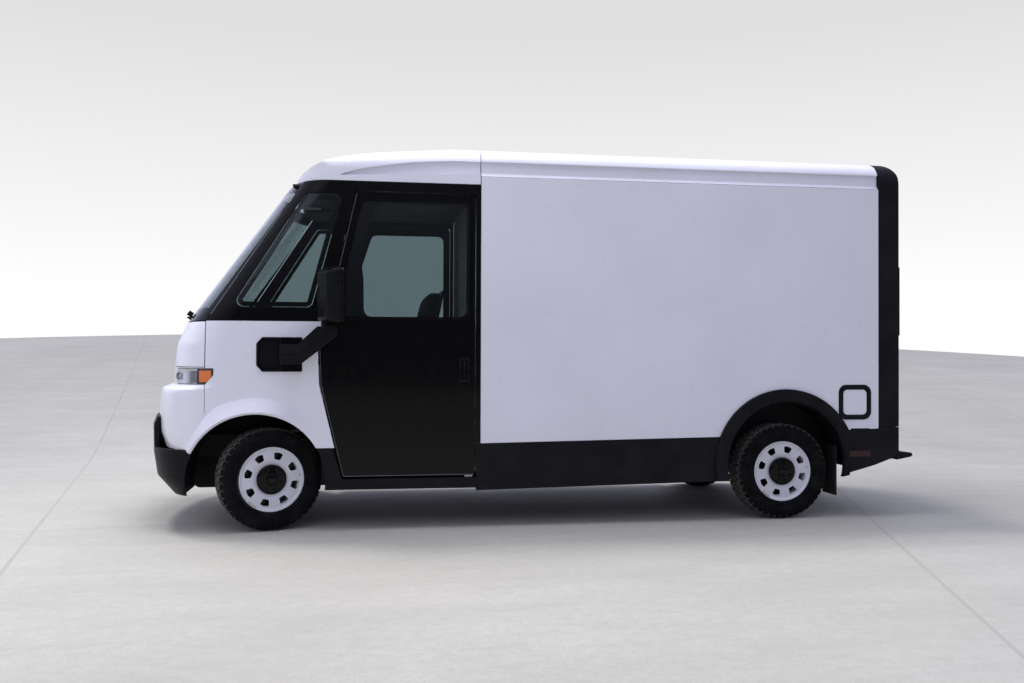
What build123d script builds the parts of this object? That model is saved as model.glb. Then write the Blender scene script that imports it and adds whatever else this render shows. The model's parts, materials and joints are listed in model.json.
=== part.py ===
"""Walk-in electric delivery truck with sliding cab doors, modelled piece by piece.

The truck stands on z = 0 and faces -X, so its left (driver's) side is at -Y.
The origin is the centre of the ground rectangle under it. All sizes are in millimetres.
"""
import os

from build123d import *

# ---------------------------------------------------------------- driving dimensions
HALF_WIDTH = 1030            # body side, without mirrors
SKIN = 12                    # thickness of the outer panels
GAP = 6                      # shut line round doors and hatches

FRONT_AXLE_X = -2055
REAR_AXLE_X = 1853
TYRE_RADIUS = 365
TYRE_WIDTH = 225
RIM_RADIUS = 203             # bead seat
FRONT_WHEEL_Y = 870          # wheel centre plane
REAR_WHEEL_Y = 888
KINGPIN_Y = 745
STEER_AT_REST = 17           # the front wheels stand turned to the left

NOSE_SEAM_X = -2446          # seam between the nose and the fenders
CAB_REAR_X = -505            # joint between the cab and the cargo body
CARGO_REAR_X = 2635          # joint between the side panels and the rear frame
REAR_FACE_X = 2805
STEP_TIP_X = 2935

PANEL_BOTTOM_Z = 590         # lower edge of the white nose
LAMP_Z = (1042, 1157)
WAIST_Z = 1490               # top of the white nose, foot of the windscreen
HEADER_Z = 2500              # top of the cab frame
GUTTER_Z = 2560              # foot of the roof
ROOF_Z = 2808
CROWN_EDGE = (800, 2790)     # y, z where the roof turns down to the sides
ROOF_SKIN = 34
RECESS_Y = 1006              # depth of the long recess above the gutter

FLOOR_Z = (650, 680)
RAIL_Z = (485, 645)
RAIL_Y = (400, 470)

FRONT_ARCH = (-2100, 351, 483)     # x, z, radius
REAR_ARCH = (1862, 428, 475)
FLARE_RADIUS = 570

DOOR_Y = (-1010, -968)       # the sliding doors run inside the side panels
POCKET_LINER_Y = (-955, -947)
DOOR_OUTLINE = [(-1407, 2425), (-1665, 1290), (-1655, 1040), (-1494, 378), (-545, 378), (-545, 2425)]
WINDOW_OUTLINE = [(-1372, 2375), (-1570, 1515), (-575, 1515), (-575, 2375)]
QUARTER_OUTLINE = [(-2270, 1590), (-1715, 1590), (-1500, 2400), (-1765, 2400)]

BULKHEAD_DOORWAY = (-350, 250)      # off centre, so that its door fits beside it when open
CHARGE_CENTRE = (2434, 897)  # x, z of the charging hatch


# ---------------------------------------------------------------- helpers
def block(x, y, z):
    """Box between the limits (low, high) on each axis."""
    size = [hi - lo for lo, hi in (x, y, z)]
    return Pos(x[0], y[0], z[0]) * Box(*size, align=(Align.MIN, Align.MIN, Align.MIN))


def side_prism(outline, y, radius=0):
    """Side-view outline (x, z) made solid between two y planes, its corners rounded."""
    sketch = Polygon(*outline, align=None) if isinstance(outline, list) else outline
    if radius:
        sketch = fillet(sketch.vertices(), radius)
    return extrude(Plane.XZ.offset(-y[0]) * sketch, amount=y[1] - y[0], dir=(0, 1, 0))


def rod(radius, start, end):
    """Round bar between two points."""
    line = Vector(*end) - Vector(*start)
    return extrude(Plane(origin=start, z_dir=line) * Circle(radius), amount=line.length)


def across(radius, x, z, y):
    """Cylinder lying across the truck, about the line at x, z."""
    return rod(radius, (x, y[0], z), (x, y[1], z))


def other_side(shape):
    """The same piece on the right-hand side."""
    return mirror(shape, about=Plane.XZ)


def grown(outline, amount):
    """Side-view outline moved outwards by amount, or inwards if negative."""
    return offset(Polygon(*outline, align=None), amount=amount, kind=Kind.INTERSECTION)


# ---------------------------------------------------------------- cab envelope
BOW = 92                     # how far the nose falls back at its shoulders
SHOULDER = 0.68              # where that is, as a share of the half width
NOSE_STATIONS = [            # z, front x on the centre line, x where the side goes flat
    (590, -2850, -2440), (700, -2885, -2440), (850, -2892, -2440), (975, -2884, -2440),
    (1008, -2868, -2430), (1038, -2788, -2340), (1160, -2786, -2330), (1330, -2766, -2290), (1490, -2694, -2250),
]
SCREEN_STATIONS = [(1490, -2694, -2250), (2500, -1963, -1580)]
BUMPER_STATIONS = [(262, -2800, -2400), (380, -2905, -2420), (540, -2930, -2440), (740, -2935, -2440), (802, -2912, -2440)]
CAB_BACK_X = -450


def plan_face(z, front, side, inset=0):
    """Plan outline of the cab at one height."""
    half = HALF_WIDTH - inset
    nose = front + inset
    shoulder = (nose + BOW, SHOULDER * half)
    middle = ThreePointArc((shoulder[0], -shoulder[1]), (nose, 0), shoulder)
    left = Spline((side, -half), middle @ 0, tangents=[(-1, 0), middle % 0])
    right = Spline(middle @ 1, (side, half), tangents=[middle % 1, (1, 0)])
    back = Polyline((side, half), (CAB_BACK_X, half), (CAB_BACK_X, -half), (side, -half))
    return Pos(0, 0, z) * make_face(left + middle + right + back)


def envelope(stations, inset=0, grow_z=0):
    """Solid through the plan outlines, straight between them."""
    faces = [plan_face(z, front, side, inset) for z, front, side in stations]
    body = loft(faces, ruled=True)
    if grow_z:
        low, high = stations[0], stations[-1]
        floor = extrude(plan_face(low[0] - grow_z, low[1], low[2], inset), amount=grow_z)
        cap = extrude(plan_face(high[0], high[1], high[2], inset), amount=grow_z)
        body = body + floor + cap
    return body


def shell(stations, thickness):
    """Wall of one thickness, open above, below and behind."""
    inner = envelope(stations, thickness, grow_z=5)
    behind = block((CAB_BACK_X - 1, 0), (-2000, 2000), (0, 3000))
    return envelope(stations) - inner - behind


def ahead_of_trim(gap):
    """Everything in front of the slanted joint between the windscreen and the cab sides."""
    foot, head = -2509 + gap, -1764 + gap
    return side_prism([(-4000, 1400), (foot, 1400), (head, 2540), (-4000, 2540)], (-2000, 2000))


# ---------------------------------------------------------------- front of the cab
def nose():
    """Front fascia, hood, fenders and their lamps and grilles."""
    wall = shell(NOSE_STATIONS, SKIN)
    arch = across(FRONT_ARCH[2], FRONT_ARCH[0], FRONT_ARCH[1], (-1100, 1100))
    lamp_view = [(-2900, LAMP_Z[0]), (-2444, LAMP_Z[0]), (-2385, 1108), (-2385, LAMP_Z[1]), (-2900, LAMP_Z[1])]
    lamp_box = side_prism(lamp_view, (-1100, -780))
    lamp_boxes = lamp_box + other_side(lamp_box)
    lamps = (envelope(NOSE_STATIONS) - envelope(NOSE_STATIONS, 62)) & lamp_boxes

    ahead = block((-3200, NOSE_SEAM_X), (-1100, 1100), (0, 3000))
    intake = block((-3200, -2600), (-722, 722), (500, 806))
    front = (wall & ahead) - arch - lamp_boxes - intake
    fascia = front & block((-3200, 0), (-1100, 1100), (0, 1162))
    hood = front & block((-3200, NOSE_SEAM_X - 3), (-1100, 1100), (1166, WAIST_Z - 4))

    # The fender ends at the doorway; the doorway is the door's outline plus the shut line.
    doorway = side_prism(grown(DOOR_OUTLINE, GAP), (-1100, -900))
    behind_seam = block((NOSE_SEAM_X + 3, -1480), (-1100, -900), (0, 3000))
    left = (wall & behind_seam) - arch - doorway - lamp_boxes
    grille_view = [(-2095, 1180), (-2055, 1133), (-1779, 1133), (-1779, 1377), (-2055, 1377), (-2095, 1330)]
    grille = side_prism(grille_view, (-1038, -1014), 8)
    left = left - side_prism(grille_view, (-1100, -900), 8)
    left = left.solids().sort_by(SortBy.VOLUME)[-1]
    return {
        "front_fascia": fascia,
        "hood": hood,
        "left_fender": left,
        "right_fender": other_side(left),
        "headlamps": lamps,
        "fender_grilles": grille + other_side(grille),
    }


def front_bumper():
    """Black bumper that wraps the nose and rises to a panel in the middle."""
    wall = shell(BUMPER_STATIONS, 26)
    arch = across(FRONT_ARCH[2] - 4, FRONT_ARCH[0], FRONT_ARCH[1], (-1100, 1100))
    wrap = block((-3200, -2300), (-1100, 1100), (200, PANEL_BOTTOM_Z - 3))
    middle = block((-3200, -2650), (-716, 716), (PANEL_BOTTOM_Z - 4, 802))
    return {"front_bumper": (wall & (wrap + middle)) - arch}


def cab_sides():
    """Black side frames, the windscreen and the fixed quarter windows."""
    wall = shell(SCREEN_STATIONS, 14)
    glass = shell(SCREEN_STATIONS, 8)
    screen = (glass & ahead_of_trim(0)) & block((-3200, 0), (-1100, 1100), (WAIST_Z + 4, HEADER_Z - 2))
    side = wall - ahead_of_trim(7)
    side = side & block((-3000, CAB_REAR_X), (-1100, -800), (WAIST_Z + 2, HEADER_Z))
    # The rear post stays outside the plane the door slides in.
    post = block((-539, CAB_REAR_X), (-HALF_WIDTH, -1016), (640, HEADER_Z))
    quarter = side_prism(QUARTER_OUTLINE, (-1100, -800), 45)
    left = side - quarter - side_prism(grown(DOOR_OUTLINE, GAP), (-1100, -900)) + post
    pane = (glass & side_prism(QUARTER_OUTLINE, (-1100, -800), 45))
    return {
        "left_cab_frame": left,
        "right_cab_frame": other_side(left),
        "cab_glazing": screen + pane + other_side(pane),
    }


# ---------------------------------------------------------------- roof
def roof_body(front, rear, inset=0):
    """Solid roof between two stations, its crown and sides moved inwards by inset."""
    side = HALF_WIDTH - inset
    foot = HEADER_Z + 2 - 2 * inset
    edge = (CROWN_EDGE[0], CROWN_EDGE[1] - inset)
    crown = ThreePointArc((-edge[0], edge[1]), (0, ROOF_Z - inset), edge)
    left = Spline((-side, 2604 - inset), crown @ 0, tangents=[(0, 1), crown % 0])
    right = Spline(crown @ 1, (side, 2604 - inset), tangents=[crown % 1, (0, -1)])
    walls = Polyline((side, 2604 - inset), (side, foot), (-side, foot), (-side, 2604 - inset))
    section = Pos(front, 0, 0) * (Plane.YZ * make_face(left + crown + right + walls))
    return extrude(section, amount=rear - front, dir=(1, 0, 0))


def roof():
    """Cab roof cap and cargo roof, with the recessed gutter along both sides."""
    # Side view of the roof's front: the brow above the windscreen.
    brow = Spline((-1990, 2480), (-1842, 2595), (-1640, 2692), (-1250, 2772), (-700, ROOF_Z + 2), tangents=[(0.3, 1), (1, 0)])
    back = Polyline((-700, ROOF_Z + 2), (-700, 2900), (CAB_REAR_X, 2900), (CAB_REAR_X, 2480), (-1990, 2480))
    brow_view = make_face(brow + back)
    plan = extrude(plan_face(2400, -1980, -1575), amount=500)
    cut_back = block((-508, 0), (-2000, 2000), (2300, 3000))
    outer = (roof_body(-2050, CAB_REAR_X) & side_prism(brow_view, (-1200, 1200)) & plan) - cut_back
    inner = roof_body(-2050, CAB_REAR_X + 1, ROOF_SKIN) & (Pos(ROOF_SKIN, 0, -ROOF_SKIN) * side_prism(brow_view, (-1200, 1200)))
    inner = inner & extrude(plan_face(2400, -1980, -1575, ROOF_SKIN), amount=500)
    cap = outer - inner
    recess_view = make_face(
        Spline((-1531, 2545), (-1352, 2608), (-1100, 2650), (-700, 2668), tangents=[(1, 0.6), (1, 0)])
        + Polyline((-700, 2668), (CAB_REAR_X, 2668), (CAB_REAR_X, 2586), (-1531, 2545)))
    recess = side_prism(recess_view, (-1100, -RECESS_Y))
    cap = cap - recess - other_side(recess)

    skirt = block((CAB_REAR_X + 2, CARGO_REAR_X - 3), (-1100, 1100), (GUTTER_Z + 2, 2900))
    cargo = roof_body(CAB_REAR_X + 2, CARGO_REAR_X - 3) - roof_body(CAB_REAR_X, CARGO_REAR_X, ROOF_SKIN)
    ledge = [(-1100, GUTTER_Z + 2), (-HALF_WIDTH, GUTTER_Z + 2), (-RECESS_Y, GUTTER_Z + 26), (-RECESS_Y, 2668),
             (-1100, 2668)]
    gutter = extrude(Pos(-600, 0, 0) * (Plane.YZ * Polygon(*ledge, align=None)), amount=3300, dir=(1, 0, 0))
    cargo = (cargo & skirt) - gutter - other_side(gutter)
    return {"cab_roof": cap, "cargo_roof": cargo}


# ---------------------------------------------------------------- cargo body
def rounded_square(side, corner, y):
    """Square plug centred on the charging hatch."""
    sketch = Pos(*CHARGE_CENTRE) * RectangleRounded(side, side, corner)
    return side_prism(sketch, y)


def cargo_walls():
    """Outer side panels, the liners that close the door pockets, floor and bulkhead."""
    outline = [(CAB_REAR_X + 2, 611), (1360, 638), (2380, 682), (CARGO_REAR_X - 2, 690),
               (CARGO_REAR_X - 2, GUTTER_Z), (CAB_REAR_X + 2, GUTTER_Z)]
    panel = side_prism(outline, (-HALF_WIDTH, -HALF_WIDTH + SKIN))
    panel = panel - across(FLARE_RADIUS, REAR_ARCH[0], REAR_ARCH[1], (-1100, -900))
    left_panel = panel - rounded_square(270, 62, (-1100, -900))

    liner = block((-436, 2630), POCKET_LINER_Y, (FLOOR_Z[1] + 2, 2530))
    liner = liner - across(514, REAR_ARCH[0], 400, (-1100, -900)) - block((1348, 2376), (-1100, -900), (600, 690))
    hatch_room = rounded_square(190, 20, (-990, -900))

    floor = block((-438, 2765), (-938, 938), FLOOR_Z)
    well = block((1345, 2379), (-1100, -731), (600, 700))
    floor = floor - well - other_side(well)

    doorway = block((-600, -300), BULKHEAD_DOORWAY, (FLOOR_Z[1] - 5, 2330))
    bulkhead = block((-462, -442), (-938, 938), (FLOOR_Z[1] + 2, 2520)) - doorway
    door_y = (BULKHEAD_DOORWAY[0] - 40, BULKHEAD_DOORWAY[1] + 40)
    return {
        "left_side_panel": left_panel,
        "right_side_panel": other_side(panel),
        "side_liners": (liner - hatch_room) + other_side(liner),
        "cargo_floor": floor,
        "bulkhead": bulkhead,
        "bulkhead_door": block((-438, -412), door_y, (FLOOR_Z[1] + 4, 2370)),
    }


def charging_port():
    """Bezel with the inlet behind it, and the hinged hatch."""
    bezel = rounded_square(268, 61, (-1037, -1012)) - rounded_square(202, 36, (-1100, -900))
    x, z = CHARGE_CENTRE
    inlet = side_prism(Pos(x, z) * RectangleRounded(150, 150, 20), (-985, -975)) + across(36, x, z, (-1014, -985))
    hatch = rounded_square(195, 34, (-1032, -1024))
    return {"charge_bezel": bezel + inlet, "charge_hatch": hatch}


LATCH_PIVOT = (REAR_FACE_X + 2, 37, 1180)


def rear_end():
    """Rear portal, swing doors, bumper with its step, and lamps."""
    corner = Spline((CARGO_REAR_X, ROOF_Z + 2), (2715, 2785), (2780, 2712), (REAR_FACE_X, 2560), tangents=[(1, 0), (0, -1)])
    rest = Polyline((REAR_FACE_X, 2560), (REAR_FACE_X, 704), (CARGO_REAR_X, 704), (CARGO_REAR_X, ROOF_Z + 2))
    view = make_face(corner + rest)
    portal = side_prism(view, (-1100, 1100)) & roof_body(2500, 2900)
    lower = side_prism(view, (-HALF_WIDTH, HALF_WIDTH)) & block((2500, 2900), (-1100, 1100), (700, HEADER_Z + 2))
    opening = block((2500, 2900), (-935, 935), (600, 2512))
    hollow = block((2500, REAR_FACE_X - 30), (-1012, -957), (600, 2500))
    portal = (portal + lower) - opening - hollow - other_side(hollow)
    # Room above the opening for the end of the roof lining.
    portal = portal - block((2500, REAR_FACE_X - 40), (-930, 930), (2540, 2700))

    door = block((2772, REAR_FACE_X + 2), (-928, -3), (708, 2504))
    quarter = [(2300, 325), (2600, 405), (2762, 462), (REAR_FACE_X, 500), (REAR_FACE_X, 701), (2637, 701),
               (2637, 687), (2250, 675)]
    skirt = side_prism(quarter, (-HALF_WIDTH - 4, HALF_WIDTH + 4))
    skirt = skirt - side_prism([(2200, 200), (REAR_FACE_X - 24, 200), (REAR_FACE_X - 24, 800), (2200, 800)],
                               (-HALF_WIDTH + 16, HALF_WIDTH - 16))
    arch = across(FLARE_RADIUS + 3, REAR_ARCH[0], REAR_ARCH[1], (-1200, 1200))
    skirt = (skirt - arch) & block((2383, 2900), (-1200, 1200), (0, 800))
    step = block((REAR_FACE_X + 1, STEP_TIP_X), (-900, 900), (455, 494))
    step = fillet(step.edges().filter_by(Axis.Z).group_by(Axis.X)[-1], 60)

    lamp = block((REAR_FACE_X + 0.5, REAR_FACE_X + 8), (-1018, -958), (1010, 1320))
    x, y, z = LATCH_PIVOT
    latch = block((x + 8, x + 20), (y - 14, y + 14), (z - 170, z + 20)) + rod(13, (x + 0.3, y, z), (x + 24, y, z))
    return {
        "rear_frame": portal,
        "left_rear_door": door,
        "right_rear_door": other_side(door),
        "rear_bumper": skirt + step,
        "tail_lamps": lamp + other_side(lamp),
        "rear_latch": latch,
    }


# ---------------------------------------------------------------- lower cladding
def rocker():
    """Black cladding under the doors and side panel, with the rear wheel flare."""
    y = (-HALF_WIDTH - 4, -HALF_WIDTH + 14)
    sill = [(-1716, 585), (-1563, 585), (-1497, 366), (CAB_REAR_X + 40, 366), (CAB_REAR_X + 40, 290), (-1640, 292)]
    ahead = side_prism(sill, y) - across(FRONT_ARCH[2] + 3, FRONT_ARCH[0], FRONT_ARCH[1], (-1100, -900))
    long_sill = [(-536, 271), (1400, 304), (1400, 634), (-536, 607)]
    piece = ahead + side_prism(long_sill, y)
    ring = across(FLARE_RADIUS, REAR_ARCH[0], REAR_ARCH[1], (-1054, -1012)) & block(
        (1200, 2379), (-1200, -900), (304, 1100))
    piece = piece + ring - across(REAR_ARCH[2], REAR_ARCH[0], REAR_ARCH[1], (-1200, -900))
    return {"left_rocker": piece, "right_rocker": other_side(piece)}


def wheel_housings():
    """Arched liners over the four wheels and the flaps behind the rear pair."""
    inside = extrude(plan_face(200, -2850, -2440, 40), amount=900)
    front = across(506, -2085, 351, (-1008, -560)) - across(500, -2085, 351, (-1200, -500))
    front = front & block((-2700, -1578), (-1100, -500), (351, 900)) & inside
    rear = across(506, REAR_ARCH[0], 400, (-1010, -735)) - across(500, REAR_ARCH[0], 400, (-1010, -741))
    rear = rear & block((1300, 2400), (-1100, -700), (400, 920))
    rear = rear - block((REAR_AXLE_X - 80, REAR_AXLE_X + 80), (-800, -700), (300, 540))
    flap = block((2290, 2298), (-1000, -780), (170, 560))
    return {
        "wheel_housings": front + other_side(front) + rear + other_side(rear),
        "mudflaps": flap + other_side(flap),
    }


# ---------------------------------------------------------------- sliding doors
def sliding_doors():
    """Full-height cab doors with their glass."""
    slab = side_prism(DOOR_OUTLINE, DOOR_Y, 18)
    slab = slab - side_prism(WINDOW_OUTLINE, (-1100, -900), 40)
    pane = side_prism(WINDOW_OUTLINE, (DOOR_Y[0] + 2, DOOR_Y[0] + 8), 40)
    return {
        "left_door": slab,
        "left_door_glass": pane,
        "right_door": other_side(slab),
        "right_door_glass": other_side(pane),
    }


# ---------------------------------------------------------------- chassis
def chassis():
    """Ladder frame, battery, cab floor with its two step wells."""
    web = RAIL_Y[1] - 8
    rail = block((-2620, 2760), RAIL_Y, RAIL_Z) - block((-2630, 2770), (0, web), (RAIL_Z[0] + 8, RAIL_Z[1] - 8))
    frame = rail + other_side(rail)
    for x in (-2560, -2055, -1500, 0, 1400, 2300, 2700):
        member = block((x - 35, x + 35), (-web, web), (505, 625)) - block((x - 27, x + 27), (-web, web), (500, 617))
        frame = frame + member
    battery = block((-1300, 1300), (-690, 690), (300, 478))
    battery = fillet(battery.edges().filter_by(Axis.Z), 40)
    deck = block((-1900, -466), (-700, 700), (FLOOR_Z[1] - 12, FLOOR_Z[1]))
    for y in ((-701, -550), (550, 701)):
        deck = deck - across(512, -2085, 351, y)
    riser = block((-1480, -466), (-710, -700), (372, FLOOR_Z[1]))
    tread = block((-1480, -545), (-960, -710), (372, 386))
    return {
        "ladder_frame": frame,
        "battery_pack": battery,
        "cab_floor": deck + riser + tread + other_side(riser) + other_side(tread),
    }


def front_suspension():
    """Fixed arm carrier and steering knuckle of each front wheel."""
    x, z = FRONT_AXLE_X, TYRE_RADIUS
    low = block((x - 45, x + 45), (-KINGPIN_Y - 24, -472), (205, 230))
    high = block((x - 45, x + 45), (-KINGPIN_Y - 24, -472), (500, 525))
    post = block((x - 45, x + 45), (-497, -472), (205, 525))
    strut = rod(27, (x, -600, 520), (x, -600, 740))
    arm = low + high + post + strut - rod(18.1, (x, -KINGPIN_Y, 100), (x, -KINGPIN_Y, 600))

    pin = rod(18, (x, -KINGPIN_Y, 200), (x, -KINGPIN_Y, 530))
    carrier = block((x - 32, x + 32), (-790, -712), (233, 497))
    hub = rod(52, (x, -780, z), (x, -FRONT_WHEEL_Y - 62, z)) + rod(24.9, (x, -900, z), (x, -FRONT_WHEEL_Y - 75, z))
    knuckle = pin + carrier + hub
    pivot_left = Axis((x, -KINGPIN_Y, 0), (0, 0, 1))
    pivot_right = Axis((x, KINGPIN_Y, 0), (0, 0, 1))
    return {
        "suspension_arms": arm + other_side(arm),
        "left_knuckle": knuckle.rotate(pivot_left, STEER_AT_REST),
        "right_knuckle": other_side(knuckle).rotate(pivot_right, STEER_AT_REST),
    }


def rear_axle():
    """Driven rear axle: tube, motor housing and wheel hubs."""
    x, z = REAR_AXLE_X, TYRE_RADIUS
    tube = across(42, x, z, (-780, 780)) + across(112, x, z, (-170, 170))
    for side in (-1, 1):
        outer = side * (REAR_WHEEL_Y + 62)
        tube = tube + rod(52, (x, side * 770, z), (x, outer, z)) + rod(24.9, (x, outer, z), (x, outer + side * 13, z))
    return {"rear_axle": tube}


# ---------------------------------------------------------------- wheels
def tyre():
    """Tyre about the Y axis: carcass with a tread band and rounded sidewalls."""
    half = TYRE_WIDTH / 2
    outer = [(205, -84), (226, -86), (246, -102), (285, -half), (335, -107), (358, -92), (TYRE_RADIUS, -74)]
    inner = [(205, -74), (232, -84), (285, -96), (330, -90), (350, -62)]
    profile = outer + [(r, -y) for r, y in reversed(outer)] + [(r, -y) for r, y in inner] + inner[::-1]
    return revolve(Polygon(*profile, align=None), Axis.Y)


def rim():
    """Steel wheel about the Y axis, its outer face at -Y, with eight hand holes, and its centre cap."""
    half_barrel = [(RIM_RADIUS, -87), (225, -89), (225, -96), (199, -96), (192, -86)]
    barrel = half_barrel + [(r, -y) for r, y in reversed(half_barrel)]
    disc = [(25, -76), (110, -76), (140, -82), (193, -86), (193, -78), (140, -72), (110, -62.4), (25, -62.4)]
    wheel = revolve(Polygon(*barrel, align=None), Axis.Y) + revolve(Polygon(*disc, align=None), Axis.Y)
    cutter = side_prism(Pos(0, 160) * RectangleRounded(66, 54, 14), (-120, -40))
    for turn in range(8):
        wheel = wheel - cutter.rotate(Axis.Y, 22.5 + turn * 45)
    cap = revolve(Polygon((0, -76.3), (98, -76.3), (98, -98), (88, -114), (0, -120), align=None), Axis.Y)
    return wheel, cap


def wheels():
    """All four wheels, the front pair turned with the steering."""
    nodes = {}
    tyre_shape = tyre()
    wheel, cap = rim()
    stands = {
        "front_left": (FRONT_AXLE_X, -FRONT_WHEEL_Y, False),
        "front_right": (FRONT_AXLE_X, FRONT_WHEEL_Y, True),
        "rear_left": (REAR_AXLE_X, -REAR_WHEEL_Y, False),
        "rear_right": (REAR_AXLE_X, REAR_WHEEL_Y, True),
    }
    for name, (x, y, right) in stands.items():
        for kind, shapes in (("tyre", [tyre_shape]), ("wheel", [wheel, cap])):
            placed = []
            for shape in shapes:
                shape = shape.rotate(Axis.Z, 180) if right else shape
                shape = Pos(x, y, TYRE_RADIUS) * shape
                if name.startswith("front"):
                    pivot = Axis((x, KINGPIN_Y if right else -KINGPIN_Y, 0), (0, 0, 1))
                    shape = shape.rotate(pivot, STEER_AT_REST)
                placed.append(shape)
            nodes[f"{name}_{kind}"] = Compound(children=placed) if len(placed) > 1 else placed[0]
    return nodes


# ---------------------------------------------------------------- mirrors and wipers
MIRROR_PIVOT = (-1600, -1165)


def mirrors():
    """Arms that stand out of the fender grilles, and the heads that fold on them."""
    arm_view = [(-1925, 1185), (-1785, 1185), (-1530, 1385), (-1530, 1452), (-1668, 1452), (-1800, 1327), (-1925, 1327)]
    arm = side_prism(arm_view, (-1190, -1130), 14)
    foot = block((-1918, -1800), (-1135, -1039), (1196, 1316))
    arm = arm + fillet(foot.edges().filter_by(Axis.Y), 20)
    head = Pos(-1588, -1215, 1665) * Rot(0, 0, 25) * Box(112, 226, 398)
    head = fillet(head.edges().filter_by(Axis.Z), 34)
    stem = rod(22, (MIRROR_PIVOT[0], MIRROR_PIVOT[1], 1452.3), (MIRROR_PIVOT[0], MIRROR_PIVOT[1], 1480))
    head = head + stem
    return {"mirror_arms": arm + other_side(arm), "left_mirror": head, "right_mirror": other_side(head)}


def screen_point(y, z):
    """Point on the outside of the windscreen at this y and height, within its gently bowed middle."""
    low, high = SCREEN_STATIONS
    share = (z - low[0]) / (high[0] - low[0])
    front = low[1] + share * (high[1] - low[1])
    return Vector(front + BOW * (y / (SHOULDER * HALF_WIDTH)) ** 2, y, z)


def wipers():
    """Two wipers that park low on the windscreen, each on a pivot square to the blade's chord."""
    foot, tip = screen_point(-560, 1540), screen_point(-20, 1540)
    chord = tip - foot
    up_screen = screen_point(-560, 2400) - foot
    out = up_screen.cross(chord).normalized()
    screen = Plane(origin=foot, x_dir=chord, z_dir=out)
    boss = extrude(screen.offset(5) * Circle(18), amount=37)
    arm = extrude(screen.offset(32) * (Pos(160, 14) * Rectangle(350, 15)), amount=10)
    yoke = extrude(screen.offset(20) * (Pos(330, 22) * Rectangle(18, 34)), amount=22)
    blade = extrude(screen.offset(18) * (Pos(285, 34) * Rectangle(500, 12)), amount=13)
    wiper = boss + arm + yoke + blade
    return {"left_wiper": wiper, "right_wiper": other_side(wiper)}


# ---------------------------------------------------------------- cab interior
COLUMN_TOP = (-1800, -480, 1285)
COLUMN_LINE = (0.6, 0, 0.8)


def interior():
    """Dashboard with the column, steering wheel and the driver's seat on its slide."""
    view = [(-2380, 1200), (-2330, 1440), (-2080, 1440), (-1985, 1380), (-1960, 1180), (-2060, 1000), (-2060, 900), (-2300, 900)]
    dash = side_prism(view, (-930, 930))
    top = Vector(*COLUMN_TOP)
    line = Vector(*COLUMN_LINE)
    column_plane = Plane(origin=top - line * 12.4, z_dir=line)
    column = extrude(column_plane * Circle(34), amount=-260)
    column = column - dash
    wheel_plane = Plane(origin=top, x_dir=(0, 1, 0), z_dir=line)
    ring = wheel_plane * Torus(198, 15)
    hub = extrude(wheel_plane * Circle(58), amount=24, both=True)
    hub = hub & (wheel_plane * Pos(0, 0, 6) * Box(200, 200, 36))
    spokes = [wheel_plane * Rot(0, 0, turn) * Pos(118, 0, 0) * Box(150, 30, 12) for turn in (0, 180, 270)]
    wheel = ring + hub
    for spoke in spokes:
        wheel = wheel + spoke

    y = (-720, -240)
    base = block((-1330, -960), (y[0] + 60, y[1] - 60), (FLOOR_Z[1], 954))
    plate = [(-950, 988), (-925, 988), (-870, 1110), (-738, 1745), (-756, 1745), (-886, 1110)]
    pan = block((-1390, -925), y, (955, 990)) + side_prism(plate, (y[0] + 60, y[1] - 60))
    cushion = fillet(block((-1450, -960), y, (992, 1100)).edges(), 30)
    back_view = [(-1010, 1104), (-890, 1104), (-760, 1760), (-860, 1760)]
    back = side_prism(back_view, (y[0] + 10, y[1] - 10), 30)
    return {
        "dashboard": dash + column,
        "steering_wheel": wheel,
        "seat_base": base,
        "seat_frame": pan,
        "seat_cushion": cushion,
        "seat_back": back,
    }


# ---------------------------------------------------------------- write every piece
def main():
    """Builds each group and writes one STEP file for each piece."""
    os.makedirs("parts", exist_ok=True)
    nodes = {}
    for group in (nose, front_bumper, cab_sides, roof, cargo_walls, charging_port, rear_end, rocker, wheel_housings,
                  sliding_doors, chassis, front_suspension, rear_axle, wheels, mirrors, wipers, interior):
        nodes.update(group())
    for name, shape in nodes.items():
        export_step(shape, f"parts/{name}.step")
    print(len(nodes), "pieces written")


main()
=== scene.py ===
"""Looks of a walk-in electric delivery truck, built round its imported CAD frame.

The truck faces -X and its driver's side is at -Y. Every size and place is in metres.
"""
import json
import logging
import math
from dataclasses import dataclass, field
from enum import Enum
from typing import Callable, Iterable, Optional, Sequence

import bmesh
import bpy
from mathutils import Matrix, Vector

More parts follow.
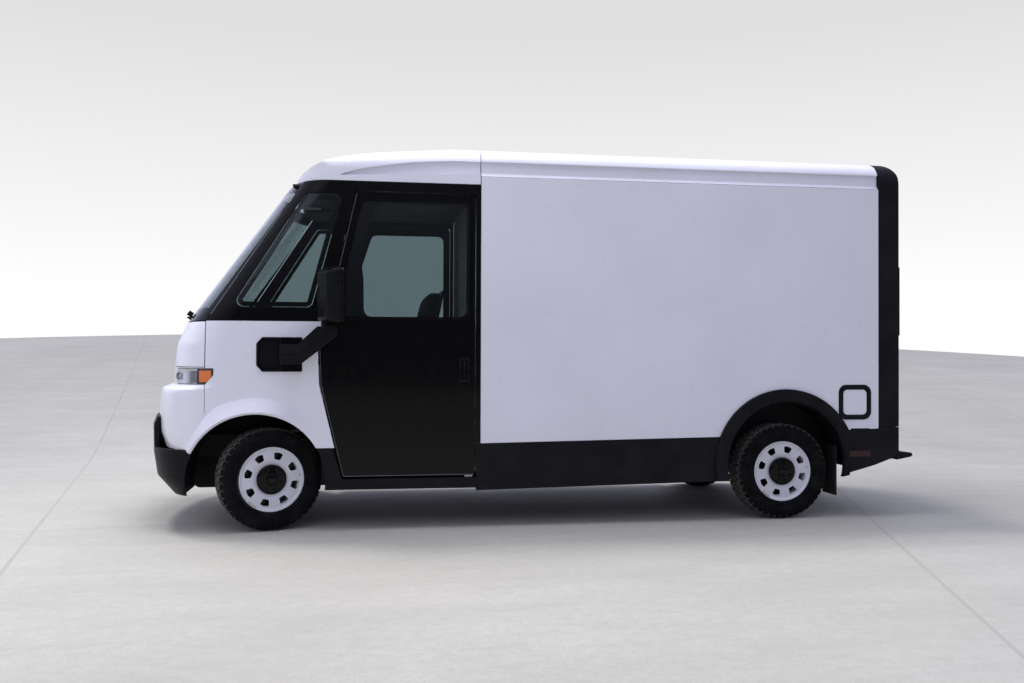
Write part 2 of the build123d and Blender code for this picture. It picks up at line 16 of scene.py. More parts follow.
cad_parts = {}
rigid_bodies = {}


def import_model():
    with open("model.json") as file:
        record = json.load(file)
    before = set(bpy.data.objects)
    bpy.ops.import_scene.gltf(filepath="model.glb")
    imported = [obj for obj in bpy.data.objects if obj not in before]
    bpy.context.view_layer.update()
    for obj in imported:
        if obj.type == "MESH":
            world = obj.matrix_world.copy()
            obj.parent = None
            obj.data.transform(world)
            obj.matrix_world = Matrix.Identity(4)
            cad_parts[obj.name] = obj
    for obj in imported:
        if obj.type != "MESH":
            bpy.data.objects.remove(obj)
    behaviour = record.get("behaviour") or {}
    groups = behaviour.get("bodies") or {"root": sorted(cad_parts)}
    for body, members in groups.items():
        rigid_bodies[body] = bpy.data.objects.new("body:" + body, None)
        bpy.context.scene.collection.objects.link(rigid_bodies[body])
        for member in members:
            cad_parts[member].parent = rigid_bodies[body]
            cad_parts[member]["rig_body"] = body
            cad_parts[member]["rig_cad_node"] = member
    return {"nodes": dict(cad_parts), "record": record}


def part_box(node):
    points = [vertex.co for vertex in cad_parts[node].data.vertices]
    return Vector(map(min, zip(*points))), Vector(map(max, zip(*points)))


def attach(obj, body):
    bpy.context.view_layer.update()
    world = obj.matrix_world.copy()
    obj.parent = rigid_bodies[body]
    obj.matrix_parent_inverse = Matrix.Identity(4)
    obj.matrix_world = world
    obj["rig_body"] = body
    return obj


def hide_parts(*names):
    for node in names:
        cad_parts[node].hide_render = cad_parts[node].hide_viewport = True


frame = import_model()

LOG = logging.getLogger("truck")
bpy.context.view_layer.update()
Colour = tuple[float, float, float]
Point = tuple[float, float, float]


# The four wheels' places, and how far a rounded skin may reach past its node's box.
CORNERS = ("front_left", "front_right", "rear_left", "rear_right")
SKIN_SLACK = 0.0008


class Side(Enum):
    """The two sides of the truck, valued by their word in the names of pieces, nodes and bodies."""

    LEFT = "left"
    RIGHT = "right"


def toned(colour: Colour, factor: float, lift: float = 0.0) -> Colour:
    """Makes a colour darker or lighter.

    Args:
        colour: the colour.
        factor: what each channel is multiplied by.
        lift: what is added to it.

    Returns:
        The new colour.
    """
    return tuple(channel * factor + lift for channel in colour)


# ---------------------------------------------------------------- finishes
class Shader:
    """Builds the nodes of one material around a Principled shader."""

    def __init__(self, name: str) -> None:
        """Makes an empty material.

        Args:
            name: the material's name.
        """
        self.material = bpy.data.materials.new(name)
        self.material.use_nodes = True
        self.nodes = self.material.node_tree.nodes
        self.links = self.material.node_tree.links
        self.surface = self.nodes["Principled BSDF"]
        coordinates = self.nodes.new("ShaderNodeTexCoord")
        self.place = coordinates.outputs["Object"]

    def set(self, **values: object) -> "Shader":
        """Sets constant values on the shader's own sockets.

        Args:
            **values: socket names, with underscores for spaces, and their values.

        Returns:
            This builder.
        """
        for name, value in values.items():
            self.surface.inputs[name.replace("_", " ")].default_value = value
        return self

    def noise(
        self, scale: float, detail: float = 4.0, stretch: Point = (1, 1, 1), roughness: float = 0.5
    ) -> object:
        """Adds a noise pattern on Object coordinates.

        Args:
            scale: cells per metre.
            detail: octaves.
            stretch: factors on the three axes.
            roughness: how strong the fine octaves are.

        Returns:
            The pattern's value output.
        """
        mapping = self.nodes.new("ShaderNodeMapping")
        mapping.inputs["Scale"].default_value = stretch
        self.links.new(self.place, mapping.inputs["Vector"])
        texture = self.nodes.new("ShaderNodeTexNoise")
        texture.inputs["Scale"].default_value = scale
        texture.inputs["Detail"].default_value = detail
        texture.inputs["Roughness"].default_value = roughness
        self.links.new(mapping.outputs["Vector"], texture.inputs["Vector"])
        return texture.outputs["Fac"]

    def cells(self, scale: float, edge: bool = False) -> object:
        """Adds a cell pattern on Object coordinates.

        Args:
            scale: cells per metre.
            edge: gives the distance to the cell's edge instead of to its centre.

        Returns:
            The pattern's distance output.
        """
        texture = self.nodes.new("ShaderNodeTexVoronoi")
        texture.feature = "DISTANCE_TO_EDGE" if edge else "F1"
        texture.inputs["Scale"].default_value = scale
        self.links.new(self.place, texture.inputs["Vector"])
        return texture.outputs["Distance"]

    def ramp(self, value: object, stops: Sequence[tuple[float, float]]) -> object:
        """Maps a value through grey stops.

        Args:
            value: the output to map.
            stops: pairs of position and grey.

        Returns:
            The mapped colour output.
        """
        node = self.nodes.new("ShaderNodeValToRGB")
        band = node.color_ramp
        while len(band.elements) < len(stops):
            band.elements.new(0.5)
        for element, (position, grey) in zip(band.elements, stops):
            element.position = position
            element.color = (grey, grey, grey, 1)
        self.links.new(value, node.inputs["Fac"])
        return node.outputs["Color"]

    def mix(self, factor: object, low: object, high: object) -> object:
        """Mixes two colours by a factor.

        Args:
            factor: an output or a number.
            low: the colour at 0, an output or a triple.
            high: the colour at 1, an output or a triple.

        Returns:
            The mixed colour output.
        """
        node = self.nodes.new("ShaderNodeMix")
        node.data_type = "RGBA"
        for socket, value in ((node.inputs[0], factor), (node.inputs[6], low), (node.inputs[7], high)):
            if isinstance(value, bpy.types.NodeSocket):
                self.links.new(value, socket)
            elif isinstance(value, tuple):
                socket.default_value = (*value, 1)
            else:
                socket.default_value = value
        return node.outputs[2]

    def sum(self, first: object, second: object, share: float) -> object:
        """Adds a share of the second value to the first.

        Args:
            first: an output.
            second: an output.
            share: factor on the second.

        Returns:
            The sum's output.
        """
        node = self.nodes.new("ShaderNodeMath")
        node.operation = "MULTIPLY_ADD"
        self.links.new(second, node.inputs[0])
        node.inputs[1].default_value = share
        self.links.new(first, node.inputs[2])
        return node.outputs[0]

    def colour(self, output: object) -> None:
        """Feeds the base colour."""
        self.links.new(output, self.surface.inputs["Base Color"])

    def roughness(self, output: object) -> None:
        """Feeds the roughness."""
        self.links.new(output, self.surface.inputs["Roughness"])

    def bump(self, height: object, depth: float, strength: float = 1.0) -> None:
        """Raises the surface by a height pattern.

        Args:
            height: the pattern.
            depth: the pattern's full height in metres.
            strength: how strongly it shows.
        """
        node = self.nodes.new("ShaderNodeBump")
        node.inputs["Strength"].default_value = strength
        node.inputs["Distance"].default_value = depth
        self.links.new(height, node.inputs["Height"])
        self.links.new(node.outputs["Normal"], self.surface.inputs["Normal"])

    def line(self, place: tuple[float, float], turn: float, width: float = 0.012) -> object:
        """Gives a mask of a straight line on the ground.

        Args:
            place: x and y of a point on it.
            turn: its angle in degrees from +Y towards +X.
            width: its half width.

        Returns:
            The mask.
        """
        across = Vector((math.cos(math.radians(turn)), -math.sin(math.radians(turn)), 0))
        product = self.nodes.new("ShaderNodeVectorMath")
        product.operation = "DOT_PRODUCT"
        self.links.new(self.place, product.inputs[0])
        product.inputs[1].default_value = across
        near = self.nodes.new("ShaderNodeMath")
        near.operation = "COMPARE"
        self.links.new(product.outputs["Value"], near.inputs[0])
        near.inputs[1].default_value = across.dot(Vector((*place, 0)))
        near.inputs[2].default_value = width
        return near.outputs[0]

    def dust_above_ground(self, top: float, amount: float) -> object:
        """Gives a mask of road film that fades out with height.

        Args:
            top: height in metres where the film ends.
            amount: the mask's value at the ground.

        Returns:
            The mask.
        """
        split = self.nodes.new("ShaderNodeSeparateXYZ")
        self.links.new(self.place, split.inputs["Vector"])
        fade = self.nodes.new("ShaderNodeMapRange")
        for name, value in (("From Min", 0.0), ("From Max", top), ("To Min", amount), ("To Max", 0.0)):
            fade.inputs[name].default_value = value
        self.links.new(split.outputs["Z"], fade.inputs["Value"])
        speckle = self.nodes.new("ShaderNodeMath")
        speckle.operation = "MULTIPLY"
        self.links.new(fade.outputs["Result"], speckle.inputs[0])
        self.links.new(self.noise(7.0, 8.0, roughness=0.65), speckle.inputs[1])
        return speckle.outputs[0]


@dataclass(frozen=True)
class Finish:
    """A finish that makes its material once."""

    name: str
    colour: Colour

    def build(self, shader: Shader) -> None:
        """Dresses the shader; each kind of finish has its own."""
        raise NotImplementedError

    def material(self) -> bpy.types.Material:
        """The material, made on first use.

        Returns:
            The material.
        """
        known = bpy.data.materials.get(self.name)
        if known is not None:
            return known
        shader = Shader(self.name)
        self.build(shader)
        return shader.material


@dataclass(frozen=True)
class Paint(Finish):
    """Clear-coated paint with faint ripple, film thickness changes and road film near the ground."""

    roughness: float = 0.32
    coat: float = 0.6
    ripple: float = 0.00012
    film: Colour = (0.42, 0.40, 0.38)
    film_top: float = 1.1
    film_amount: float = 0.22
    gleam: float = 0.5

    def build(self, shader: Shader) -> None:
        """Lays the paint."""
        shader.set(Coat_Weight=self.coat, Coat_Roughness=0.04, IOR=1.5, Specular_IOR_Level=self.gleam)
        broad = shader.noise(1.3, 5.0)
        depth = shader.ramp(broad, ((0.35, 0.0), (0.7, 1.0)))
        base = shader.mix(depth, self.colour, toned(self.colour, 0.94))
        shader.colour(shader.mix(shader.dust_above_ground(self.film_top, self.film_amount), base, self.film))
        fine = shader.noise(18.0, 6.0)
        shader.roughness(shader.ramp(fine, ((0.3, self.roughness - 0.05), (0.75, self.roughness + 0.07))))
        shader.bump(shader.noise(55.0, 2.0), self.ripple)


@dataclass(frozen=True)
class Moulded(Finish):
    """Grained black or grey plastic, greyer along its worn and dusty places."""

    roughness: float = 0.5
    grain: float = 900.0
    depth: float = 0.00025
    worn: Colour = (0.06, 0.058, 0.056)
    wear: float = 0.10
    gleam: float = 0.14

    def build(self, shader: Shader) -> None:
        """Moulds the plastic."""
        shader.set(IOR=1.47, Specular_IOR_Level=self.gleam)
        patches = shader.ramp(shader.noise(4.5, 7.0, roughness=0.62), ((0.42, 0.0), (0.75, 1.0)))
        base = shader.mix(patches, self.colour, toned(self.colour, 1.35, 0.004))
        shader.colour(shader.mix(shader.dust_above_ground(0.9, self.wear), base, self.worn))
        shader.roughness(shader.ramp(patches, ((0.0, self.roughness - 0.07), (1.0, self.roughness + 0.09))))
        shader.bump(shader.cells(self.grain), self.depth, 0.6)


@dataclass(frozen=True)
class Glazing(Finish):
    """Tinted glass with a faint wave and dust haze."""

    roughness: float = 0.0
    wave: float = 0.0004

    def build(self, shader: Shader) -> None:
        """Floats the glass."""
        shader.set(Transmission_Weight=1.0, IOR=1.45)
        haze = shader.ramp(shader.noise(3.0, 6.0), ((0.4, self.roughness), (0.8, self.roughness + 0.03)))
        shader.colour(shader.mix(shader.noise(2.0, 3.0), self.colour, toned(self.colour, 0.93)))
        shader.roughness(haze)
        shader.bump(shader.noise(2.2, 2.0), self.wave, 0.4)


@dataclass(frozen=True)
class Lens(Finish):
    """Coloured lamp plastic with fine fluting."""

    glow: float = 0.0
    flutes: float = 130.0
    clear: float = 0.75

    def build(self, shader: Shader) -> None:
        """Moulds the lens."""
        shader.set(Transmission_Weight=self.clear, IOR=1.49)
        shader.set(Emission_Color=(*self.colour, 1), Emission_Strength=self.glow)
        shader.colour(shader.mix(shader.noise(30.0, 3.0), self.colour, toned(self.colour, 0.8)))
        shader.roughness(shader.ramp(shader.noise(22.0, 4.0), ((0.3, 0.05), (0.8, 0.14))))
        wave = shader.nodes.new("ShaderNodeTexWave")
        wave.inputs["Scale"].default_value = self.flutes
        wave.bands_direction = "Z"
        shader.links.new(shader.place, wave.inputs["Vector"])
        shader.bump(wave.outputs["Fac"], 0.0006, 0.5)


@dataclass(frozen=True)
class Shell(Finish):
    """Thin clear plastic cover that lets light straight through."""

    alpha: float = 0.07

    def build(self, shader: Shader) -> None:
        """Moulds the cover."""
        shader.set(Alpha=self.alpha, IOR=1.5, Specular_IOR_Level=0.5)
        shader.colour(shader.mix(shader.noise(12.0, 4.0), self.colour, toned(self.colour, 0.9)))
        shader.roughness(shader.ramp(shader.noise(25.0, 4.0), ((0.3, 0.03), (0.8, 0.08))))
        shader.bump(shader.noise(9.0, 2.0), 0.0002, 0.4)


@dataclass(frozen=True)
class Metal(Finish):
    """Bare or plated metal with brushing and dull patches."""

    roughness: float = 0.3
    brush: Point = (1, 1, 40)
    depth: float = 0.00008

    def build(self, shader: Shader) -> None:
        """Works the metal."""
        shader.set(Metallic=1.0)
        patches = shader.noise(6.0, 6.0)
        shader.colour(shader.mix(patches, self.colour, toned(self.colour, 0.72)))
        lines = shader.noise(60.0, 4.0, stretch=self.brush)
        shader.roughness(shader.ramp(lines, ((0.3, self.roughness - 0.08), (0.75, self.roughness + 0.14))))
        shader.bump(lines, self.depth, 0.5)


@dataclass(frozen=True)
class Tyre(Finish):
    """Vulcanised rubber with grey road dust in its pores."""

    roughness: float = 0.78
    dust: Colour = (0.060, 0.057, 0.052)
    amount: float = 0.22
    tread_dust: float = 0.62

    def build(self, shader: Shader) -> None:
        """Cures the rubber."""
        shader.set(Specular_IOR_Level=0.03)
        pores = shader.noise(140.0, 8.0, roughness=0.7)
        broad = shader.ramp(shader.noise(9.0, 6.0, roughness=0.6), ((0.45, 0.0), (0.85, self.amount)))
        facing = shader.nodes.new("ShaderNodeTexCoord")
        split = shader.nodes.new("ShaderNodeSeparateXYZ")
        shader.links.new(facing.outputs["Normal"], split.inputs["Vector"])
        size = shader.nodes.new("ShaderNodeMath")
        size.operation = "ABSOLUTE"
        shader.links.new(split.outputs["Y"], size.inputs[0])
        tread = shader.ramp(size.outputs[0], ((0.36, self.tread_dust), (0.60, 0.0)))
        wall = shader.mix(broad, self.colour, self.dust)
        shader.colour(shader.mix(tread, wall, toned(self.dust, 3.2)))
        shader.roughness(shader.ramp(pores, ((0.3, self.roughness - 0.1), (0.8, self.roughness + 0.12))))
        shader.bump(pores, 0.0005, 0.5)


@dataclass(frozen=True)
class Cloth(Finish):
    """Woven seat cloth: crossing threads, colour flecks and sheen."""

    thread: float = 950.0
    fleck: Colour = (0.10, 0.10, 0.11)

    def build(self, shader: Shader) -> None:
        """Weaves the cloth."""
        shader.set(Sheen_Weight=0.35, Sheen_Roughness=0.45, IOR=1.4)
        waves = []
        for direction in ("X", "Y"):
            wave = shader.nodes.new("ShaderNodeTexWave")
            wave.bands_direction = direction
            wave.inputs["Scale"].default_value = self.thread / math.tau
            wave.inputs["Distortion"].default_value = 0.6
            wave.inputs["Detail Scale"].default_value = 2.0
            shader.links.new(shader.place, wave.inputs["Vector"])
            waves.append(wave.outputs["Fac"])
        weave = shader.sum(waves[0], waves[1], 1.0)
        flecks = shader.ramp(shader.noise(420.0, 3.0), ((0.45, 0.0), (0.6, 1.0)))
        shader.colour(shader.mix(flecks, self.colour, self.fleck))
        shader.roughness(shader.ramp(shader.noise(12.0, 4.0), ((0.3, 0.82), (0.8, 0.95))))
        shader.bump(weave, 0.0007, 0.7)


@dataclass(frozen=True)
class Board(Finish):
    """Sealed plywood floor with long grain and scuffs."""

    scuff: Colour = (0.20, 0.19, 0.18)

    def build(self, shader: Shader) -> None:
        """Seals the board."""
        grain = shader.noise(26.0, 8.0, stretch=(0.06, 1, 1))
        base = shader.mix(grain, self.colour, toned(self.colour, 0.55))
        scuffs = shader.noise(9.0, 8.0, stretch=(0.4, 1.6, 1), roughness=0.7)
        shader.colour(shader.mix(shader.ramp(scuffs, ((0.56, 0.0), (0.64, 0.7))), base, self.scuff))
        shader.roughness(shader.ramp(grain, ((0.3, 0.42), (0.8, 0.62))))
        shader.bump(grain, 0.0004, 0.5)


@dataclass(frozen=True)
class TreadPlate(Finish):
    """Aluminium sheet with raised lozenges."""

    def build(self, shader: Shader) -> None:
        """Rolls the sheet."""
        shader.set(Metallic=1.0)
        bumps = []
        for turn in (45.0, -45.0):
            mapping = shader.nodes.new("ShaderNodeMapping")
            mapping.inputs["Rotation"].default_value = (0, 0, math.radians(turn))
            mapping.inputs["Scale"].default_value = (28.0, 75.0, 1.0)
            shader.links.new(shader.place, mapping.inputs["Vector"])
            texture = shader.nodes.new("ShaderNodeTexVoronoi")
            texture.inputs["Scale"].default_value = 1.0
            texture.inputs["Randomness"].default_value = 0.0
            shader.links.new(mapping.outputs["Vector"], texture.inputs["Vector"])
            bumps.append(shader.ramp(texture.outputs["Distance"], ((0.22, 1.0), (0.34, 0.0))))
        shader.colour(shader.mix(shader.noise(7.0, 7.0), self.colour, toned(self.colour, 0.6)))
        shader.roughness(shader.ramp(shader.noise(40.0, 5.0), ((0.3, 0.3), (0.8, 0.55))))
        shader.bump(shader.sum(bumps[0], bumps[1], 1.0), 0.0012, 0.8)


@dataclass(frozen=True)
class Concrete(Finish):
    """Pale studio floor of large slabs with thin joints, each given by a point on it and its turn."""

    joints: tuple[tuple[tuple[float, float], float], ...] = (
        ((-3.39, -2.13), -10.2), ((1.38, -4.31), 19.6), ((-6.4, -1.0), 84.0), ((5.6, 3.4), 84.0),
        ((-7.9, 0.0), -10.2), ((7.4, 0.0), 19.6),
    )

    def build(self, shader: Shader) -> None:
        """Pours the floor."""
        broad = shader.ramp(shader.noise(0.35, 8.0, roughness=0.6), ((0.3, 0.0), (0.75, 1.0)))
        base = shader.mix(broad, self.colour, toned(self.colour, 0.80))
        layers = (
            (shader.noise(1.6, 9.0, (0.5, 1.6, 1), 0.68), ((0.40, 0.0), (0.72, 0.50)), 0.68),
            (shader.noise(14.0, 10.0, roughness=0.72), ((0.35, 0.0), (0.7, 0.42)), 0.62),
            (shader.noise(75.0, 3.0, roughness=0.8), ((0.52, 0.0), (0.66, 0.45)), 0.55),
        )
        for pattern, stops, tone in layers:
            base = shader.mix(shader.ramp(pattern, stops), base, toned(self.colour, tone))
        lines = [shader.line(place, turn) for place, turn in self.joints]
        joints = lines[0]
        for line in lines[1:]:
            joints = shader.sum(joints, line, 1.0)
        shader.colour(shader.mix(joints, base, toned(self.colour, 0.70)))
        shader.roughness(shader.ramp(broad, ((0.0, 0.62), (1.0, 0.8))))
        shader.bump(shader.noise(20.0, 8.0), 0.001, 0.4)


# painted shade tint: the blue in this white stands in for the lilac of the sky-lit shaded sides
WHITE = Paint("white_paint", (0.80, 0.80, 0.88))
BLACK_GLOSS = Paint(
    "black_gloss", (0.0035, 0.003, 0.003), roughness=0.10, coat=0.05, film=(0.02, 0.017, 0.014), film_top=1.3,
    film_amount=0.08, gleam=0.15,
)
BLACK_TRIM = Moulded("black_trim", (0.006, 0.006, 0.008))
BLACK_SATIN = Moulded("black_satin", (0.006, 0.006, 0.008), roughness=0.34, grain=500.0, depth=0.0001)
LINER_GREY = Moulded("liner_plastic", (0.50, 0.51, 0.53), roughness=0.48, worn=(0.34, 0.33, 0.32))
INTERIOR = Moulded("cab_plastic", (0.030, 0.030, 0.033), roughness=0.6, grain=700.0, depth=0.0004)
CHASSIS = Moulded("chassis_coating", (0.016, 0.016, 0.017), grain=260.0, depth=0.0003, wear=0.35)
BATTERY = Moulded("battery_housing", (0.07, 0.07, 0.075), roughness=0.52, wear=0.3)
FLAP = Moulded("splash_rubber", (0.014, 0.014, 0.014), roughness=0.75, grain=420.0, wear=0.4)
GLASS = Glazing("tinted_glass", (0.40, 0.48, 0.435))
CLEAR_SHELL = Shell("clear_lens", (0.80, 0.82, 0.84))
RED_LENS = Lens("red_lens", (0.42, 0.012, 0.012), glow=0.04)
DARK_RED = Lens("side_reflector_red", (0.035, 0.003, 0.003), clear=0.1)
AMBER = Lens("amber_lens", (0.66, 0.14, 0.0), glow=0.16, clear=0.0)
TYRE = Tyre("road_tyre", (0.0065, 0.0065, 0.0075))
RIM_PAINT = Paint(
    "rim_paint", (0.66, 0.66, 0.72), roughness=0.38, coat=0.3, film=(0.30, 0.28, 0.26), film_top=0.8
)
STEEL = Metal("brushed_steel", (0.56, 0.57, 0.59))
# painted highlight: the bright steel of the door bead stands in for the light line along the door's front and
# bottom edges
HIGHLIGHT_BEAD = Metal("highlight_bead_steel", (0.26, 0.27, 0.29), roughness=0.36)
HUB = Metal("hub_steel", (0.22, 0.21, 0.20), roughness=0.5, depth=0.0003)
CHROME = Metal("reflector_chrome", (0.86, 0.87, 0.88), roughness=0.14)
MIRROR_GLASS = Metal("mirror_glass", (0.80, 0.83, 0.85), roughness=0.09, depth=0.0)
SEAT_CLOTH = Cloth("seat_cloth", (0.028, 0.028, 0.031))
PLYWOOD = Board("sealed_plywood", (0.30, 0.22, 0.15))
TREAD_PLATE = TreadPlate("tread_plate", (0.55, 0.56, 0.58))
FLOOR = Concrete("pale_floor", (0.488, 0.475, 0.421))

SLOT_FINISHES: dict[str, Finish] = {
    "body_white": WHITE,
    "trim_black": BLACK_TRIM,
    "gloss_black": BLACK_GLOSS,
    "glazing": GLASS,
    "lamp_clear": CLEAR_SHELL,
    "lamp_red": RED_LENS,
    "tyre_rubber": TYRE,
    "wheel_silver": RIM_PAINT,
    "chassis_black": CHASSIS,
    "battery_case": BATTERY,
    "floor_ply": PLYWOOD,
    "cab_floor_alu": TREAD_PLATE,
    "liner_grey": LINER_GREY,
    "interior_grey": INTERIOR,
    "seat_fabric": SEAT_CLOTH,
    "flap_rubber": FLAP,
    "latch_steel": STEEL,
    "hub_steel": HUB,
}


# ---------------------------------------------------------------- hand tools
FaceTest = Callable[[Vector, Vector], bool]


class Bench:
    """The modelling steps that every sub-assembly shares."""

    @staticmethod
    def deselect() -> None:
        """Leaves edit mode and deselects everything."""
        if bpy.context.object is not None and bpy.context.object.mode != "OBJECT":
            bpy.ops.object.mode_set(mode="OBJECT")
        bpy.ops.object.select_all(action="DESELECT")

    @staticmethod
    def only(piece: bpy.types.Object) -> None:
        """Makes one object the only selected and active one."""
        Bench.deselect()
        piece.select_set(True)
        bpy.context.view_layer.objects.active = piece

    @staticmethod
    def edit(piece: bpy.types.Object, mode: str = "FACE", select: str = "DESELECT") -> None:
        """Opens a piece in edit mode.

        Args:
            piece: the piece.
            mode: VERT, EDGE or FACE.
            select: SELECT or DESELECT all its elements.
        """
        Bench.only(piece)
        bpy.ops.object.mode_set(mode="EDIT")
        bpy.ops.mesh.select_mode(type=mode)
        bpy.ops.mesh.select_all(action=select)

    @staticmethod
    def done(piece: bpy.types.Object) -> bpy.types.Object:
        """Closes edit mode and brings the piece's place into its mesh.

        Args:
            piece: the piece.

        Returns:
            The piece.
        """
        Bench.only(piece)
        bpy.ops.object.transform_apply(location=True, rotation=True, scale=True)
        return piece

    @staticmethod
    def named(name: str) -> bpy.types.Object:
        """Names the active object and its mesh.

        Args:
            name: the name.

        Returns:
            The object.
        """
        piece = bpy.context.object
        piece.name = piece.data.name = name
        return piece

    @staticmethod
    def pick_faces(piece: bpy.types.Object, test: FaceTest) -> None:
        """Selects the faces of a piece in edit mode by centre and normal.

        Args:
            piece: the piece, in edit mode.
            test: says whether a face with this centre and normal is wanted.
        """
        mesh = bmesh.from_edit_mesh(piece.data)
        for face in mesh.faces:
            face.select_set(test(face.calc_center_median(), face.normal))
        mesh.select_flush_mode()
        bmesh.update_edit_mesh(piece.data)

    @staticmethod
    def recess(piece: bpy.types.Object, test: FaceTest, *steps: tuple[float, float]) -> None:
        """Insets some faces of a piece, one step after the other.

        Args:
            piece: the piece.
            test: picks the faces.
            *steps: each step's width and height.
        """
        Bench.edit(piece)
        Bench.pick_faces(piece, test)
        for width, height in steps:
            bpy.ops.mesh.inset(thickness=width, depth=height)

    @staticmethod
    def pick_edges(piece: bpy.types.Object, test: FaceTest) -> None:
        """Selects the edges of a piece in edit mode by middle and direction.

        Args:
            piece: the piece, in edit mode.
            test: says whether an edge with this middle and unit direction is wanted.
        """
        mesh = bmesh.from_edit_mesh(piece.data)
        for edge in mesh.edges:
            first, second = (vertex.co for vertex in edge.verts)
            edge.select_set(test((first + second) / 2, (second - first).normalized()))
        mesh.select_flush_mode()
        bmesh.update_edit_mesh(piece.data)

    @staticmethod
    def modify(piece: bpy.types.Object, kind: str, **values: object) -> None:
        """Adds a modifier and applies it.

        Args:
            piece: the piece.
            kind: the modifier's type.
            **values: its settings.
        """
        Bench.only(piece)
        modifier = piece.modifiers.new(kind.lower(), kind)
        for name, value in values.items():
            setattr(modifier, name, value)
        bpy.ops.object.modifier_apply(modifier=modifier.name)

    @staticmethod
    def round_edges(
        piece: bpy.types.Object, width: float, segments: int = 3, angle: float = 30.0
    ) -> bpy.types.Object:
        """Rounds the sharp edges of a piece and shades it smooth.

        Args:
            piece: the piece.
            width: the rounding's width.
            segments: its steps.
            angle: edges sharper than this many degrees are rounded.

        Returns:
            The piece.
        """
        Bench.modify(
            piece, "BEVEL", width=width, segments=segments, limit_method="ANGLE",
            angle_limit=math.radians(angle), use_clamp_overlap=True, harden_normals=False,
        )
        return Bench.smooth(piece)

    @staticmethod
    def smooth(piece: bpy.types.Object, angle: float = 32.0) -> bpy.types.Object:
        """Shades a piece smooth, except over edges sharper than the angle.

        Args:
            piece: the piece.
            angle: the angle in degrees.

        Returns:
            The piece.
        """
        Bench.only(piece)
        bpy.ops.object.shade_smooth_by_angle(angle=math.radians(angle))
        return piece

    @staticmethod
    def box(name: str, low: Point, high: Point) -> bpy.types.Object:
        """Adds a box between two corners.

        Args:
            name: the piece's name.
            low: its lowest corner.
            high: its highest corner.

        Returns:
            The box.
        """
        Bench.deselect()
        centre = [(a + b) / 2 for a, b in zip(low, high)]
        size = [b - a for a, b in zip(low, high)]
        bpy.ops.mesh.primitive_cube_add(size=1.0, location=centre, scale=size)
        return Bench.done(Bench.named(name))

    @staticmethod
    def rod(name: str, start: Point, end: Point, radius: float, sides: int = 32) -> bpy.types.Object:
        """Adds a round bar between two points.

        Args:
            name: the piece's name.
            start: centre of one end.
            end: centre of the other end.
            radius: the bar's radius.
            sides: facets round it.

        Returns:
            The bar.
        """
        Bench.deselect()
        line = Vector(end) - Vector(start)
        turn = Vector((0, 0, 1)).rotation_difference(line).to_euler()
        middle = (Vector(start) + Vector(end)) / 2
        bpy.ops.mesh.primitive_cylinder_add(
            vertices=sides, radius=radius, depth=line.length, location=middle, rotation=turn
        )
        return Bench.done(Bench.named(name))

    @staticmethod
    def prism(name: str, outline: Sequence[tuple[float, float]], y: tuple[float, float]) -> bpy.types.Object:
        """Adds a side-view outline made solid between two Y planes.

        Args:
            name: the piece's name.
            outline: x and z of its corners.
            y: the two planes.

        Returns:
            The prism.
        """
        Bench.deselect()
        bpy.ops.mesh.primitive_circle_add(vertices=len(outline), fill_type="NGON", location=(0, 0, 0))
        piece = Bench.named(name)
        for vertex, (x, z) in zip(piece.data.vertices, outline):
            vertex.co = (x, y[0], z)
        Bench.edit(piece, select="SELECT")
        bpy.ops.mesh.extrude_region_move(TRANSFORM_OT_translate={"value": (0, y[1] - y[0], 0)})
        bpy.ops.mesh.select_all(action="SELECT")
        bpy.ops.mesh.normals_make_consistent(inside=False)
        return Bench.done(piece)

    @staticmethod
    def turned(name: str, profile: Sequence[tuple[float, float]], steps: int = 96) -> bpy.types.Object:
        """Turns a closed profile about the Y axis.

        Args:
            name: the piece's name.
            profile: radius and y of its points.
            steps: facets round it.

        Returns:
            The turned piece.
        """
        Bench.deselect()
        bpy.ops.mesh.primitive_circle_add(vertices=len(profile), fill_type="NOTHING", location=(0, 0, 0))
        piece = Bench.named(name)
        for vertex, (radius, y) in zip(piece.data.vertices, profile):
            vertex.co = (radius, y, 0)
        Bench.edit(piece, "VERT", "SELECT")
        bpy.ops.mesh.spin(steps=steps, angle=math.tau, center=(0, 0, 0), axis=(0, 1, 0), use_auto_merge=True)
        bpy.ops.mesh.select_all(action="SELECT")
        bpy.ops.mesh.remove_doubles(threshold=0.00001)
        bpy.ops.mesh.delete_loose(use_verts=True, use_edges=True, use_faces=False)
        bpy.ops.mesh.select_all(action="SELECT")
        bpy.ops.mesh.normals_make_consistent(inside=False)
        return Bench.done(piece)

    @staticmethod
    def ring(
        name: str, outline: Sequence[tuple[float, float]], width: float, y: tuple[float, float]
    ) -> bpy.types.Object:
        """Adds a flat frame that follows a side-view outline.

        Args:
            name: the piece's name.
            outline: its outer outline.
            width: the frame's width.
            y: its two faces.

        Returns:
            The frame.
        """
        piece = Bench.prism(name, outline, y)
        Bench.edit(piece)
        Bench.pick_faces(piece, lambda _, normal: abs(normal.y) > 0.9)
        bpy.ops.mesh.inset(thickness=width, depth=0.0, use_individual=True)
        bpy.ops.mesh.delete(type="FACE")
        bpy.ops.mesh.select_mode(type="EDGE")
        bpy.ops.mesh.select_non_manifold(extend=False)
        bpy.ops.mesh.bridge_edge_loops()
        bpy.ops.mesh.select_all(action="SELECT")
        bpy.ops.mesh.normals_make_consistent(inside=False)
        return Bench.done(piece)

    @staticmethod
    def placed(piece: bpy.types.Object, matrix: Matrix) -> bpy.types.Object:
        """Moves a piece by a matrix and brings the move into its mesh.

        Args:
            piece: the piece.
            matrix: the move.

        Returns:
            The piece.
        """
        piece.matrix_world = matrix @ piece.matrix_world
        bpy.context.view_layer.update()
        return Bench.done(piece)

